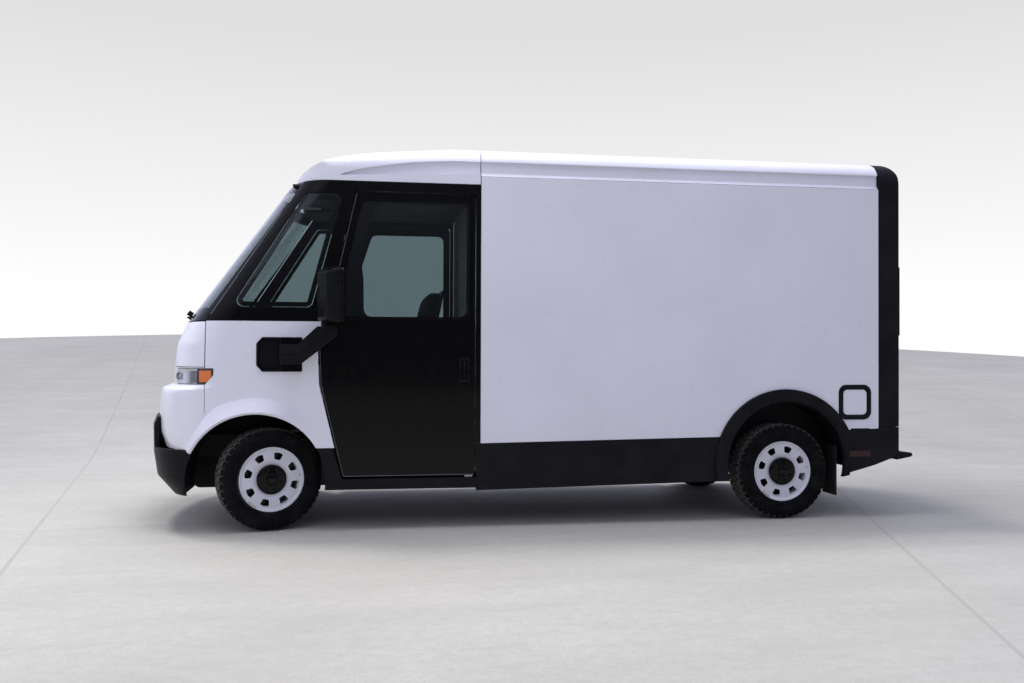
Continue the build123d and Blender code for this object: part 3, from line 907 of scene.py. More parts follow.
    @staticmethod
    def refined(node: str, name: Optional[str] = None, rounding: float = 0.003) -> bpy.types.Object:
        """Copies a CAD node as one clean skin with rounded edges.

        A rounding that would push the skin out of the node's own box is halved, and then left out.

        Args:
            node: the CAD node.
            name: the copy's name.
            rounding: width of its rounded edges, or 0 for none.

        Returns:
            The copy.
        """
        low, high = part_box(node)
        for width in (rounding, rounding / 2, 0.0):
            piece = Bench.skin(node, name or f"{node}_skin")
            if width:
                Bench.round_edges(piece, width, 2)
            else:
                Bench.smooth(piece)
            over = max(
                max(low[axis] - vertex.co[axis], vertex.co[axis] - high[axis])
                for vertex in piece.data.vertices for axis in range(3)
            )
            if over < SKIN_SLACK or not width:
                return piece
            LOG.info("%s: rounding %.4f reaches %.4f out of its box", node, width, over)
            bpy.data.objects.remove(piece)
        return piece

    @staticmethod
    def skin(node: str, name: str) -> bpy.types.Object:
        """Copies a CAD node and merges its loose triangles.

        Args:
            node: the CAD node.
            name: the copy's name.

        Returns:
            The copy.
        """
        Bench.only(frame["nodes"][node])
        bpy.ops.object.duplicate()
        bpy.ops.object.parent_clear(type="CLEAR_KEEP_TRANSFORM")
        piece = Bench.named(name)
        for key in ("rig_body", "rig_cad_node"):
            if key in piece:
                del piece[key]
        piece.data.materials.clear()
        Bench.edit(piece, "VERT", "SELECT")
        bpy.ops.mesh.remove_doubles(threshold=0.00002)
        bpy.ops.mesh.dissolve_limited(angle_limit=math.radians(0.3))
        Bench.deselect()
        if piece.data.has_custom_normals:
            Bench.only(piece)
            bpy.ops.mesh.customdata_custom_splitnormals_clear()
        return piece

    @staticmethod
    def join(name: str, parts: Sequence[bpy.types.Object]) -> bpy.types.Object:
        """Joins pieces of one finish into one.

        Args:
            name: the joined piece's name.
            parts: the pieces.

        Returns:
            The joined piece.
        """
        Bench.only(parts[0])
        for part in parts:
            part.select_set(True)
        if len(parts) > 1:
            bpy.ops.object.join()
        parts[0].name = parts[0].data.name = name
        return parts[0]

    @staticmethod
    def copy(piece: bpy.types.Object, name: str) -> bpy.types.Object:
        """Copies a piece with its own mesh.

        Args:
            piece: the piece.
            name: the copy's name.

        Returns:
            The copy.
        """
        Bench.only(piece)
        bpy.ops.object.duplicate()
        return Bench.named(name)

    @staticmethod
    def other_side(piece: bpy.types.Object, name: str) -> bpy.types.Object:
        """Makes the mirrored piece on the right-hand side.

        Args:
            piece: the left-hand piece.
            name: the copy's name.

        Returns:
            The right-hand piece.
        """
        twin = Bench.copy(piece, name)
        twin.scale = (1, -1, 1)
        Bench.done(twin)
        Bench.edit(twin, select="SELECT")
        if bmesh.from_edit_mesh(twin.data).calc_volume(signed=True) < 0:
            bpy.ops.mesh.flip_normals()
        Bench.deselect()
        return twin


def fit(
    piece: bpy.types.Object, body: str, finish: Finish, replaces: Iterable[str] = ()
) -> bpy.types.Object:
    """Gives a piece its finish and its CAD body.

    Args:
        piece: the finished piece.
        body: the CAD body it rides on.
        finish: its finish.
        replaces: the CAD nodes it stands for.

    Returns:
        The piece.
    """
    if not isinstance(finish, (Cloth, Tyre)):
        Bench.modify(piece, "WEIGHTED_NORMAL", keep_sharp=True, weight=60)
    piece.data.materials.clear()
    piece.data.materials.append(finish.material())
    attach(piece, body)
    names = list(replaces)
    if names:
        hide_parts(*names)
    LOG.info("%s: %d faces on %s", piece.name, len(piece.data.polygons), body)
    return piece


def fit_both(
    left: bpy.types.Object, word: str, body: str, finish: Finish, slot: str, stands_for: str = ""
) -> None:
    """Mirrors a left-hand piece and fits both.

    Args:
        left: the left-hand piece.
        word: the pieces' name without their side.
        body: the bodies' name without their side, or nothing for the truck's own body.
        finish: their finish.
        slot: the record's material slot of their finish; not used.
        stands_for: the CAD nodes' name without their side, where they replace some.
    """
    left.name = f"{Side.LEFT.value}_{word}"
    right = Bench.other_side(left, f"{Side.RIGHT.value}_{word}")
    for side, piece in zip(Side, (left, right)):
        carrier = f"{side.value}_{body}" if body else "body"
        fit(piece, carrier, finish, [f"{side.value}_{stands_for}"] if stands_for else [])


# ---------------------------------------------------------------- studio
@dataclass
class Studio:
    """Floor, backdrop light and camera."""

    eye: Point = (-1.387, -7.912, 1.276)
    yaw: float = 9.19
    pitch: float = 0.65
    roll: float = 0.2
    lens: float = 33.4
    floor_radius: float = 26.0
    floor_cells: int = 96
    rim_width: float = 0.40
    flat_depth: float = 3.5
    slope: float = 0.093
    high_light: float = 1.50

    def camera(self) -> None:
        """Places the camera."""
        yaw, pitch, roll = (math.radians(angle) for angle in (self.yaw, self.pitch, self.roll))
        ahead = Vector((math.sin(yaw) * math.cos(pitch), math.cos(yaw) * math.cos(pitch), math.sin(pitch)))
        right = Vector((math.cos(yaw), -math.sin(yaw), 0))
        up = right.cross(ahead)
        turned_right = right * math.cos(roll) + up * math.sin(roll)
        turned_up = up * math.cos(roll) - right * math.sin(roll)
        data = bpy.data.cameras.new("camera")
        data.lens = self.lens
        data.clip_end = 200.0
        camera = bpy.data.objects.new("camera", data)
        axes = Matrix((turned_right, turned_up, -ahead)).transposed()
        camera.matrix_world = Matrix.Translation(self.eye) @ axes.to_4x4()
        bpy.context.scene.collection.objects.link(camera)
        bpy.context.scene.camera = camera

    def floor(self) -> None:
        """Lays a round floor that rises gently towards the back."""
        Bench.deselect()
        cells = self.floor_cells
        bpy.ops.mesh.primitive_grid_add(
            x_subdivisions=cells, y_subdivisions=cells, size=2 * self.floor_radius, location=(0, 0, 0)
        )
        floor = Bench.named("floor")
        Bench.edit(floor)
        Bench.pick_faces(floor, lambda centre, _: centre.xy.length > self.floor_radius)
        bpy.ops.mesh.delete(type="FACE")
        Bench.deselect()
        for vertex in floor.data.vertices:
            reach = vertex.co.xy.length
            if reach > self.floor_radius - self.rim_width:
                vertex.co.xy = vertex.co.xy * (self.floor_radius / reach)
            beyond = max(0.0, vertex.co.y - self.flat_depth)
            vertex.co.z = self.slope * beyond * beyond / (beyond + 2.0)
        Bench.smooth(floor)
        floor.data.materials.append(FLOOR.material())

    @staticmethod
    def eased(tree: bpy.types.NodeTree, source: object, span: tuple[float, float], lowest: float) -> object:
        """Maps a value to a soft step that ends at 1.

        Args:
            tree: the backdrop's nodes.
            source: the output to map.
            span: where the step starts and ends.
            lowest: its value before the start.

        Returns:
            The step's output.
        """
        node = tree.nodes.new("ShaderNodeMapRange")
        node.interpolation_type = "SMOOTHSTEP"
        for name, value in zip(("From Min", "From Max", "To Min", "To Max"), (*span, lowest, 1.0)):
            node.inputs[name].default_value = value
        tree.links.new(source, node.inputs["Value"])
        return node.outputs["Result"]

    def backdrop(self) -> None:
        """Sets a soft surrounding light, dark low on the camera's side and bright above and behind."""
        world = bpy.data.worlds.new("backdrop")
        bpy.context.scene.world = world
        world.use_nodes = True
        nodes, links = world.node_tree.nodes, world.node_tree.links
        background = nodes["Background"]
        place = nodes.new("ShaderNodeTexCoord")
        split = nodes.new("ShaderNodeSeparateXYZ")
        links.new(place.outputs["Generated"], split.inputs["Vector"])
        high = self.eased(world.node_tree, split.outputs["Z"], (0.02, 0.55), 0.10)
        behind = self.eased(world.node_tree, split.outputs["Y"], (-0.25, 0.45), 0.0)
        either = nodes.new("ShaderNodeMath")
        either.operation = "MAXIMUM"
        links.new(high, either.inputs[0])
        links.new(behind, either.inputs[1])
        tint = nodes.new("ShaderNodeMix")
        tint.data_type = "RGBA"
        tint.inputs[6].default_value = (0.02, 0.02, 0.03, 1)
        tint.inputs[7].default_value = (0.68, 0.70, 0.92, 1)
        links.new(either.outputs[0], tint.inputs[0])
        rays = nodes.new("ShaderNodeLightPath")
        seen = nodes.new("ShaderNodeMix")
        seen.data_type = "RGBA"
        links.new(rays.outputs["Is Camera Ray"], seen.inputs[0])
        links.new(tint.outputs[2], seen.inputs[6])
        fade = nodes.new("ShaderNodeValToRGB")
        band = fade.color_ramp
        band.elements[0].position, band.elements[0].color = 0.06, (1, 1, 1, 1)
        band.elements[1].position, band.elements[1].color = 0.32, (0.74, 0.74, 0.74, 1)
        links.new(split.outputs["Z"], fade.inputs["Fac"])
        links.new(fade.outputs["Color"], seen.inputs[7])
        links.new(seen.outputs[2], background.inputs["Color"])
        background.inputs["Strength"].default_value = 1.0

    def lamps(self) -> None:
        """Hangs the soft lights."""
        plan = (
            ("side_light", (-2.5, -8.5, 5.6), (0.0, 0.0, 1.2), (9.0, 3.0), 26.0, (0.74, 0.77, 1.0)),
            ("top_light", (-1.3, -0.3, 7.6), (-1.1, -0.3, 2.4), (6.0, 3.6), 480.0, (0.97, 0.97, 1.0)),
            ("nose_light", (-8.5, -1.5, 4.0), (-2.6, 0.0, 1.4), (3.5, 3.5), 60.0, (1.0, 0.99, 0.97)),
            ("fender_light", (-6.6, -6.2, 1.3), (-2.2, -1.0, 0.8), (3.0, 1.2), 34.0, (0.97, 0.97, 1.0)),
            ("far_light", (0.0, 9.0, 9.0), (0.0, 15.0, 0.8), (34.0, 4.0), 260.0, (1.0, 1.0, 1.0)),
        )
        sky = bpy.data.lights.new("high_light", "SUN")
        sky.energy = self.high_light
        sky.angle = math.radians(14)
        sky.color = (1.0, 0.985, 0.95)
        high = bpy.data.objects.new("high_light", sky)
        high.rotation_euler = Vector((0.30, -0.34, -1.0)).to_track_quat("-Z", "Y").to_euler()
        bpy.context.scene.collection.objects.link(high)
        for name, place, aim, size, power, colour in plan:
            data = bpy.data.lights.new(name, "AREA")
            data.shape = "RECTANGLE"
            data.size, data.size_y = size
            data.energy = power
            data.color = colour
            lamp = bpy.data.objects.new(name, data)
            lamp.location = place
            lamp.visible_camera = lamp.visible_glossy = name == "side_light"
            lamp.rotation_euler = (Vector(aim) - Vector(place)).to_track_quat("-Z", "Y").to_euler()
            bpy.context.scene.collection.objects.link(lamp)

    def build(self) -> None:
        """Sets up the whole studio."""
        bpy.context.scene.view_settings.view_transform = "Standard"
        self.camera()
        self.floor()
        self.backdrop()
        self.lamps()


# ---------------------------------------------------------------- outlines
Outline = list[tuple[float, float]]


def arc(centre: tuple[float, float], radius: float, start: float, end: float, steps: int = 40) -> Outline:
    """Gives points along a side-view arc.

    Args:
        centre: x and z of its centre.
        radius: its radius.
        start: first angle in degrees, from +X towards +Z.
        end: last angle.
        steps: how many pieces it has.

    Returns:
        The points.
    """
    angles = [math.radians(start + (end - start) * step / steps) for step in range(steps + 1)]
    return [(centre[0] + radius * math.cos(angle), centre[1] + radius * math.sin(angle)) for angle in angles]


def arc_band(centre: tuple[float, float], inner: float, outer: float, start: float, end: float) -> Outline:
    """Gives the outline of a curved band between two radii.

    Args:
        centre: x and z of its centre.
        inner: inner radius.
        outer: outer radius.
        start: first angle in degrees.
        end: last angle.

    Returns:
        The closed outline.
    """
    return arc(centre, outer, start, end) + arc(centre, inner, end, start)


def rounded(outline: Sequence[tuple[float, float]], radius: float, steps: int = 6) -> Outline:
    """Rounds the corners of a closed outline.

    Args:
        outline: its corners.
        radius: the corners' radius.
        steps: pieces in each corner.

    Returns:
        The rounded outline.
    """
    points: Outline = []
    for index, corner in enumerate(outline):
        here = Vector(corner)
        before = Vector(outline[index - 1]) - here
        after = Vector(outline[(index + 1) % len(outline)]) - here
        half = before.angle(after) / 2
        cut = min(radius / math.tan(half), 0.45 * min(before.length, after.length))
        size = cut * math.tan(half)
        centre = here + (before.normalized() + after.normalized()).normalized() * (size / math.sin(half))
        first = here + before.normalized() * cut - centre
        last = here + after.normalized() * cut - centre
        for step in range(steps + 1):
            spoke = first.lerp(last, step / steps).normalized() * size
            points.append(tuple(centre + spoke))
    return points


def strip(path: Sequence[tuple[float, float]], width: float) -> Outline:
    """Gives the outline of a strip that follows a path.

    Args:
        path: the strip's middle line.
        width: its width.

    Returns:
        The closed outline.
    """
    sides: tuple[Outline, Outline] = ([], [])
    for index, point in enumerate(path):
        before = Vector(path[max(index - 1, 0)])
        after = Vector(path[min(index + 1, len(path) - 1)])
        line = (after - before).normalized()
        across = Vector((-line.y, line.x)) * (width / 2)
        sides[0].append(tuple(Vector(point) + across))
        sides[1].append(tuple(Vector(point) - across))
    return sides[0] + sides[1][::-1]


# ---------------------------------------------------------------- sub-assemblies
@dataclass
class Panels:
    """The CAD panels that are carried over as clean skins with softened edges."""

    rebuilt: frozenset[str] = frozenset(
        f"{place}_{part}" for place in CORNERS for part in ("tyre", "wheel")
    ) | {"headlamps", "cab_glazing", "left_mirror", "right_mirror", "seat_cushion", "seat_back"}
    usual: float = 0.003
    rounding: dict[str, float] = field(default_factory=lambda: {
        "front_fascia": 0.005, "hood": 0.005, "front_bumper": 0.012, "cab_roof": 0.006, "cargo_roof": 0.006,
        "left_rocker": 0.006, "right_rocker": 0.006, "rear_frame": 0.010, "rear_bumper": 0.010,
        "mirror_arms": 0.012, "charge_bezel": 0.006, "charge_hatch": 0.005, "left_door_glass": 0.001,
        "right_door_glass": 0.001, "steering_wheel": 0.0, "fender_grilles": 0.004, "dashboard": 0.015,
        "ladder_frame": 0.004, "tail_lamps": 0.002, "wheel_housings": 0.0, "left_wiper": 0.001,
        "right_wiper": 0.001,
    })

    @staticmethod
    def slope_roof(roof: bpy.types.Object) -> None:
        """Lowers the front of the roof and pulls its leading edge back.

        Args:
            roof: the skin of the cab roof.
        """
        foot, crown = 2.53, 2.80
        level_until, slope = -0.70, 0.080
        nose_start, nose_length, pull = -1.30, 0.68, 0.080
        for vertex in roof.data.vertices:
            ahead = max(0.0, level_until - vertex.co.x)
            share = min(1.0, max(0.0, (vertex.co.z - foot) / (crown - foot)))
            vertex.co.z -= slope * ahead * share
            nose = min(1.0, max(0.0, (nose_start - vertex.co.x) / nose_length))
            vertex.co.x += pull * nose * nose

    def build(self) -> None:
        """Skins every panel that no other class rebuilds."""
        slots = {row["node"]: row["material_slot"] for row in frame["record"]["subparts"]}
        for body, nodes in frame["record"]["behaviour"]["bodies"].items():
            for node in nodes:
                if node in self.rebuilt:
                    continue
                skin = Bench.refined(node, rounding=self.rounding.get(node, self.usual))
                if node == "cab_roof":
                    self.slope_roof(skin)
                fit(skin, body, SLOT_FINISHES[slots[node]], [node])


@dataclass
class RoadWheel:
    """One road wheel: tyre with tread, pressed steel rim, hub cap, valve and balance weight."""

    tread_radius: float = 0.365
    steps: int = 168
    hole_radius: float = 0.169
    hole_count: int = 8
    cap_radius: float = 0.106
    nut_circle: float = 0.076
    steer: float = 17.0

    def tyre(self) -> bpy.types.Object:
        """Turns the tyre and cuts its tread.

        Returns:
            The tyre, axis along Y, outboard side at -Y.
        """
        top = self.tread_radius
        crown = [
            (top, 0.0), (top, 0.020), (top, 0.028), (top, 0.058), (top - 0.001, 0.066), (top - 0.003, 0.094),
        ]
        shoulder = [(top - 0.01, 0.106), (top - 0.024, 0.113), (0.334, 0.1165), (0.33, 0.116), (0.32, 0.119)]
        wall = [
            (0.300, 0.120), (0.296, 0.1186), (0.276, 0.1186), (0.258, 0.115), (0.254, 0.1162), (0.246, 0.115),
        ]
        bead = [(0.238, 0.1085), (0.23, 0.10), (0.222, 0.092), (0.22, 0.08), (0.26, 0.09), (0.345, 0.09)]
        right = crown + shoulder + wall + bead
        profile = right + [(radius, -y) for radius, y in reversed(right[1:])]
        tyre = Bench.turned("tyre", profile, self.steps)

        def row(low: float, high: float) -> FaceTest:
            """Picks the faces of a groove between two distances from the middle."""
            return lambda centre, _: centre.xz.length > top - 0.012 and low < abs(centre.y) < high

        def lug(low: float, high: float, every: int, shift: int) -> FaceTest:
            """Picks every so many faces of a row, the two halves two steps apart."""
            def wanted(centre: Vector, _: Vector) -> bool:
                """Tells whether a face is to be cut."""
                turn = math.atan2(centre.z, centre.x) % math.tau
                step = int(turn / math.tau * self.steps) + (2 if centre.y > 0 else 0)
                return centre.xz.length > top - 0.022 and low < abs(centre.y) < high and step % every == shift
            return wanted

        cuts = (
            (row(0.020, 0.028), 0.001, 0.008), (row(0.058, 0.066), 0.001, 0.008),
            (lug(0.066, 0.110, 4, 0), 0.003, 0.007), (lug(0.028, 0.058, 4, 1), 0.003, 0.006),
            (lug(0.0, 0.020, 6, 2), 0.003, 0.004),
        )
        for test, border, depth in cuts:
            Bench.recess(tyre, test, (border, -depth))
        return Bench.smooth(tyre, 24)

    def rim(self) -> bpy.types.Object:
        """Turns the rim and pierces its hand holes.

        Returns:
            The rim.
        """
        face = [
            (0.2295, -0.096), (0.2315, -0.100), (0.229, -0.104), (0.220, -0.104), (0.215, -0.100),
            (0.211, -0.0965), (0.205, -0.0955), (0.195, -0.0965), (0.180, -0.0975), (0.155, -0.097),
            (0.132, -0.094), (0.118, -0.088), (0.108, -0.084), (0.065, -0.084),
        ]
        back = [
            (0.065, -0.077), (0.108, -0.077), (0.118, -0.081), (0.132, -0.087), (0.155, -0.090),
            (0.180, -0.090), (0.190, -0.084), (0.195, -0.060), (0.195, 0.060), (0.205, 0.085), (0.218, 0.100),
            (0.228, 0.098), (0.224, 0.090), (0.215, 0.080), (0.203, 0.050), (0.203, -0.050), (0.211, -0.080),
            (0.221, -0.090),
        ]
        rim = Bench.turned("rim", face + back, 96)
        top, low, high = 0.034, 0.021, 0.025
        hole = [(-low, -high), (low, -high), (top, high * 0.75), (0.0, high * 1.12), (-top, high * 0.75)]
        cutters = []
        for number in range(self.hole_count):
            cutter = Bench.prism(f"hand_hole_{number}", rounded(hole, 0.009, 4), (-0.12, -0.072))
            turn = Matrix.Rotation(math.tau * (number + 0.34) / self.hole_count, 4, "Y")
            cutters.append(Bench.placed(cutter, turn @ Matrix.Translation((0, 0, self.hole_radius))))
        cutter = Bench.join("hand_holes", cutters)
        Bench.modify(rim, "BOOLEAN", operation="DIFFERENCE", object=cutter, solver="EXACT")
        bpy.data.objects.remove(cutter)
        return Bench.round_edges(rim, 0.0022, 2, 34)

    def cap(self) -> bpy.types.Object:
        """Turns the hub cap with its nut covers and the dark brake plate seen through the hand holes.

        Returns:
            Cap and plate.
        """
        edge = self.cap_radius
        profile = [
            (0, -0.1185), (0.030, -0.1185), (0.037, -0.116), (0.041, -0.109), (0.047, -0.106),
            (0.090, -0.105), (edge - 0.006, -0.103), (edge, -0.0975), (edge, -0.081), (0, -0.081),
        ]
        plate = [(0.070, -0.030), (0.186, -0.030), (0.190, -0.026), (0.190, -0.020), (0.070, -0.020)]
        parts = [Bench.turned("cap", profile, 64), Bench.turned("brake_plate", plate, 64)]
        for number in range(self.hole_count):
            angle = math.tau * (number + 0.5) / self.hole_count
            x, z = self.nut_circle * math.cos(angle), self.nut_circle * math.sin(angle)
            nut = Bench.rod("nut", (x, -0.102, z), (x, -0.1145, z), 0.0135, 6)
            parts.append(Bench.round_edges(nut, 0.002, 2))
        return Bench.smooth(Bench.join("cap", parts))

    def fittings(self) -> bpy.types.Object:
        """Makes the valve stem and the balance weight.

        Returns:
            Both as one piece.
        """
        valve = Bench.rod("valve", (0.198, -0.090, 0.030), (0.200, -0.112, 0.030), 0.004, 16)
        Bench.round_edges(valve, 0.001, 2)
        weight = Bench.prism("weight", arc_band((0, 0), 0.2140, 0.2260, 222, 240), (-0.1075, -0.101))
        Bench.round_edges(weight, 0.0015, 2)
        return Bench.join("wheel_fittings", [valve, weight])

    def build(self) -> None:
        """Makes the parts once and sets copies at the four corners."""
        parts = (
            (self.tyre(), "tyre", TYRE, "tyre_rubber"),
            (self.rim(), "rim", RIM_PAINT, "wheel_silver"),
            (self.cap(), "hub_cap", BLACK_GLOSS, "trim_black"),
            (self.fittings(), "valve_and_weight", STEEL, "latch_steel"),
        )
        for place in CORNERS:
            low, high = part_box(f"{place}_tyre")
            steer = self.steer if place.startswith("front") else 0.0
            turn = math.radians(steer + (180.0 if place.endswith("right") else 0.0))
            matrix = Matrix.Translation((low + high) / 2) @ Matrix.Rotation(turn, 4, "Z")
            for template, word, finish, slot in parts:
                piece = Bench.placed(Bench.copy(template, f"{place}_{word}"), matrix)
                stands_for = {"tyre": [f"{place}_tyre"], "rim": [f"{place}_wheel"]}.get(word, [])
                fit(piece, f"{place}_wheel", finish, stands_for)
        for template, *_ in parts:
            bpy.data.objects.remove(template)


@dataclass
class Arches:
    """Flared lips round the front arches, splash walls behind the wheels and the rear arch ridges."""

    front: tuple[float, float] = (-2.100, 0.351)
    front_radius: float = 0.483
    rear: tuple[float, float] = (1.868, 0.422)
    nose_start: float = -2.36
    swell: float = 0.050
    behind: float = 40.0
    before: float = 157.0

    def lip(self) -> bpy.types.Object:
        """Swells the painted flare of the left front arch, broad ahead of the wheel and fading out behind it.

        Returns:
            The flare.
        """
        width, back, base = 0.118, -1.020, -1.0290
        profile = [(self.front_radius, back), (self.front_radius + width, back)]
        for share in (1.0, 0.86, 0.72, 0.58, 0.45, 0.33, 0.22, 0.13, 0.06, 0.0):
            rise = (1.0 - share) ** 1.3 if share > 0.10 else 0.60 + 2.2 * share
            profile.append((self.front_radius + width * share, base - 0.0003 - self.swell * rise))
        lip = Bench.turned("left_arch_lip", profile, 180)
        Bench.placed(lip, Matrix.Translation((self.front[0], 0, self.front[1])))
        for turn, side in ((self.behind, -1.0), (self.before, 1.0)):
            Bench.edit(lip, "FACE", "SELECT")
            angle = math.radians(turn)
            across = (-side * math.sin(angle), 0.0, side * math.cos(angle))
            bpy.ops.mesh.bisect(
                plane_co=(self.front[0], 0, self.front[1]), plane_no=across, use_fill=True, clear_outer=True,
            )
        Bench.deselect()
        for vertex in lip.data.vertices:
            turn = math.degrees(math.atan2(vertex.co.z - self.front[1], vertex.co.x - self.front[0]))
            fade = min(1.0, max(0.0, (turn - 46.0) / 44.0)) * min(1.0, max(0.0, (self.before - turn) / 4.0))
            if vertex.co.y < base:
                vertex.co.y = base + (vertex.co.y - base) * fade * fade * (3.0 - 2.0 * fade)
            ahead = max(0.0, self.nose_start - vertex.co.x)
            vertex.co.y += 0.95 * ahead * ahead
        return Bench.smooth(lip, 40)

    def splash_wall(self) -> bpy.types.Object:
        """Sets the dark wall inboard of the left front wheel.

        Returns:
            The wall.
        """
        outline = rounded([(-2.62, 0.240), (-1.58, 0.240), (-1.56, 0.86), (-2.60, 0.90)], 0.05)
        wall = Bench.prism("left_splash_wall", outline, (-0.392, -0.386))
        Bench.recess(wall, lambda _, normal: normal.y < -0.9, (0.025, 0.0), (0.008, 0.004))
        return Bench.round_edges(wall, 0.002, 2)

    def dam(self) -> bpy.types.Object:
        """Closes the gaps ahead of and behind the left front tyre.

        Returns:
            Both dams as one piece.
        """
        parts = []
        for name, start, end, outboard in (("front", 150, 189, -0.985), ("rear", -7, 28, -1.004)):
            outline = arc_band(self.front, 0.486, 0.492, start, end)
            dam = Bench.prism(f"left_{name}_dam", outline, (outboard, -0.560))
            parts.append(Bench.round_edges(dam, 0.001, 2))
        return Bench.join("left_arch_dams", parts)

    def ridge(self) -> bpy.types.Object:
        """Adds the inner ridge of the left rear arch."""
        ridge = Bench.prism("left_arch_ridge", arc_band(self.rear, 0.486, 0.505, 2, 178), (-1.048, -1.060))
        return Bench.round_edges(ridge, 0.004, 3)

    def skirt(self) -> bpy.types.Object:
        """Fills the skirt between the left rear arch and the bumper.

        Returns:
            The filler.
        """
        outline = [(2.336, 0.333), (2.56, 0.40), (2.56, 0.694), (2.40, 0.694), (2.372, 0.56), (2.336, 0.47)]
        skirt = Bench.prism("left_skirt_filler", outline, (-1.012, -1.0325))
        return Bench.round_edges(skirt, 0.005, 3)

    def build(self) -> None:
        """Fits both sides."""
        for side in Side:
            for vertex in bpy.data.objects[f"{side.value}_rocker_skin"].data.vertices:
                if vertex.co.x > 2.20:
                    vertex.co.z = max(vertex.co.z, 0.318 + 0.20 * (vertex.co.x - 2.30))
        plan = (
            (self.skirt(), "skirt_filler", BLACK_TRIM, "trim_black"),
            (self.lip(), "arch_lip", WHITE, "body_white"),
            (self.splash_wall(), "splash_wall", BLACK_TRIM, "trim_black"),
            (self.dam(), "arch_dams", BLACK_TRIM, "trim_black"),
            (self.ridge(), "arch_ridge", BLACK_SATIN, "trim_black"),
        )
        for left, word, finish, slot in plan:
            fit_both(left, word, "", finish, slot)


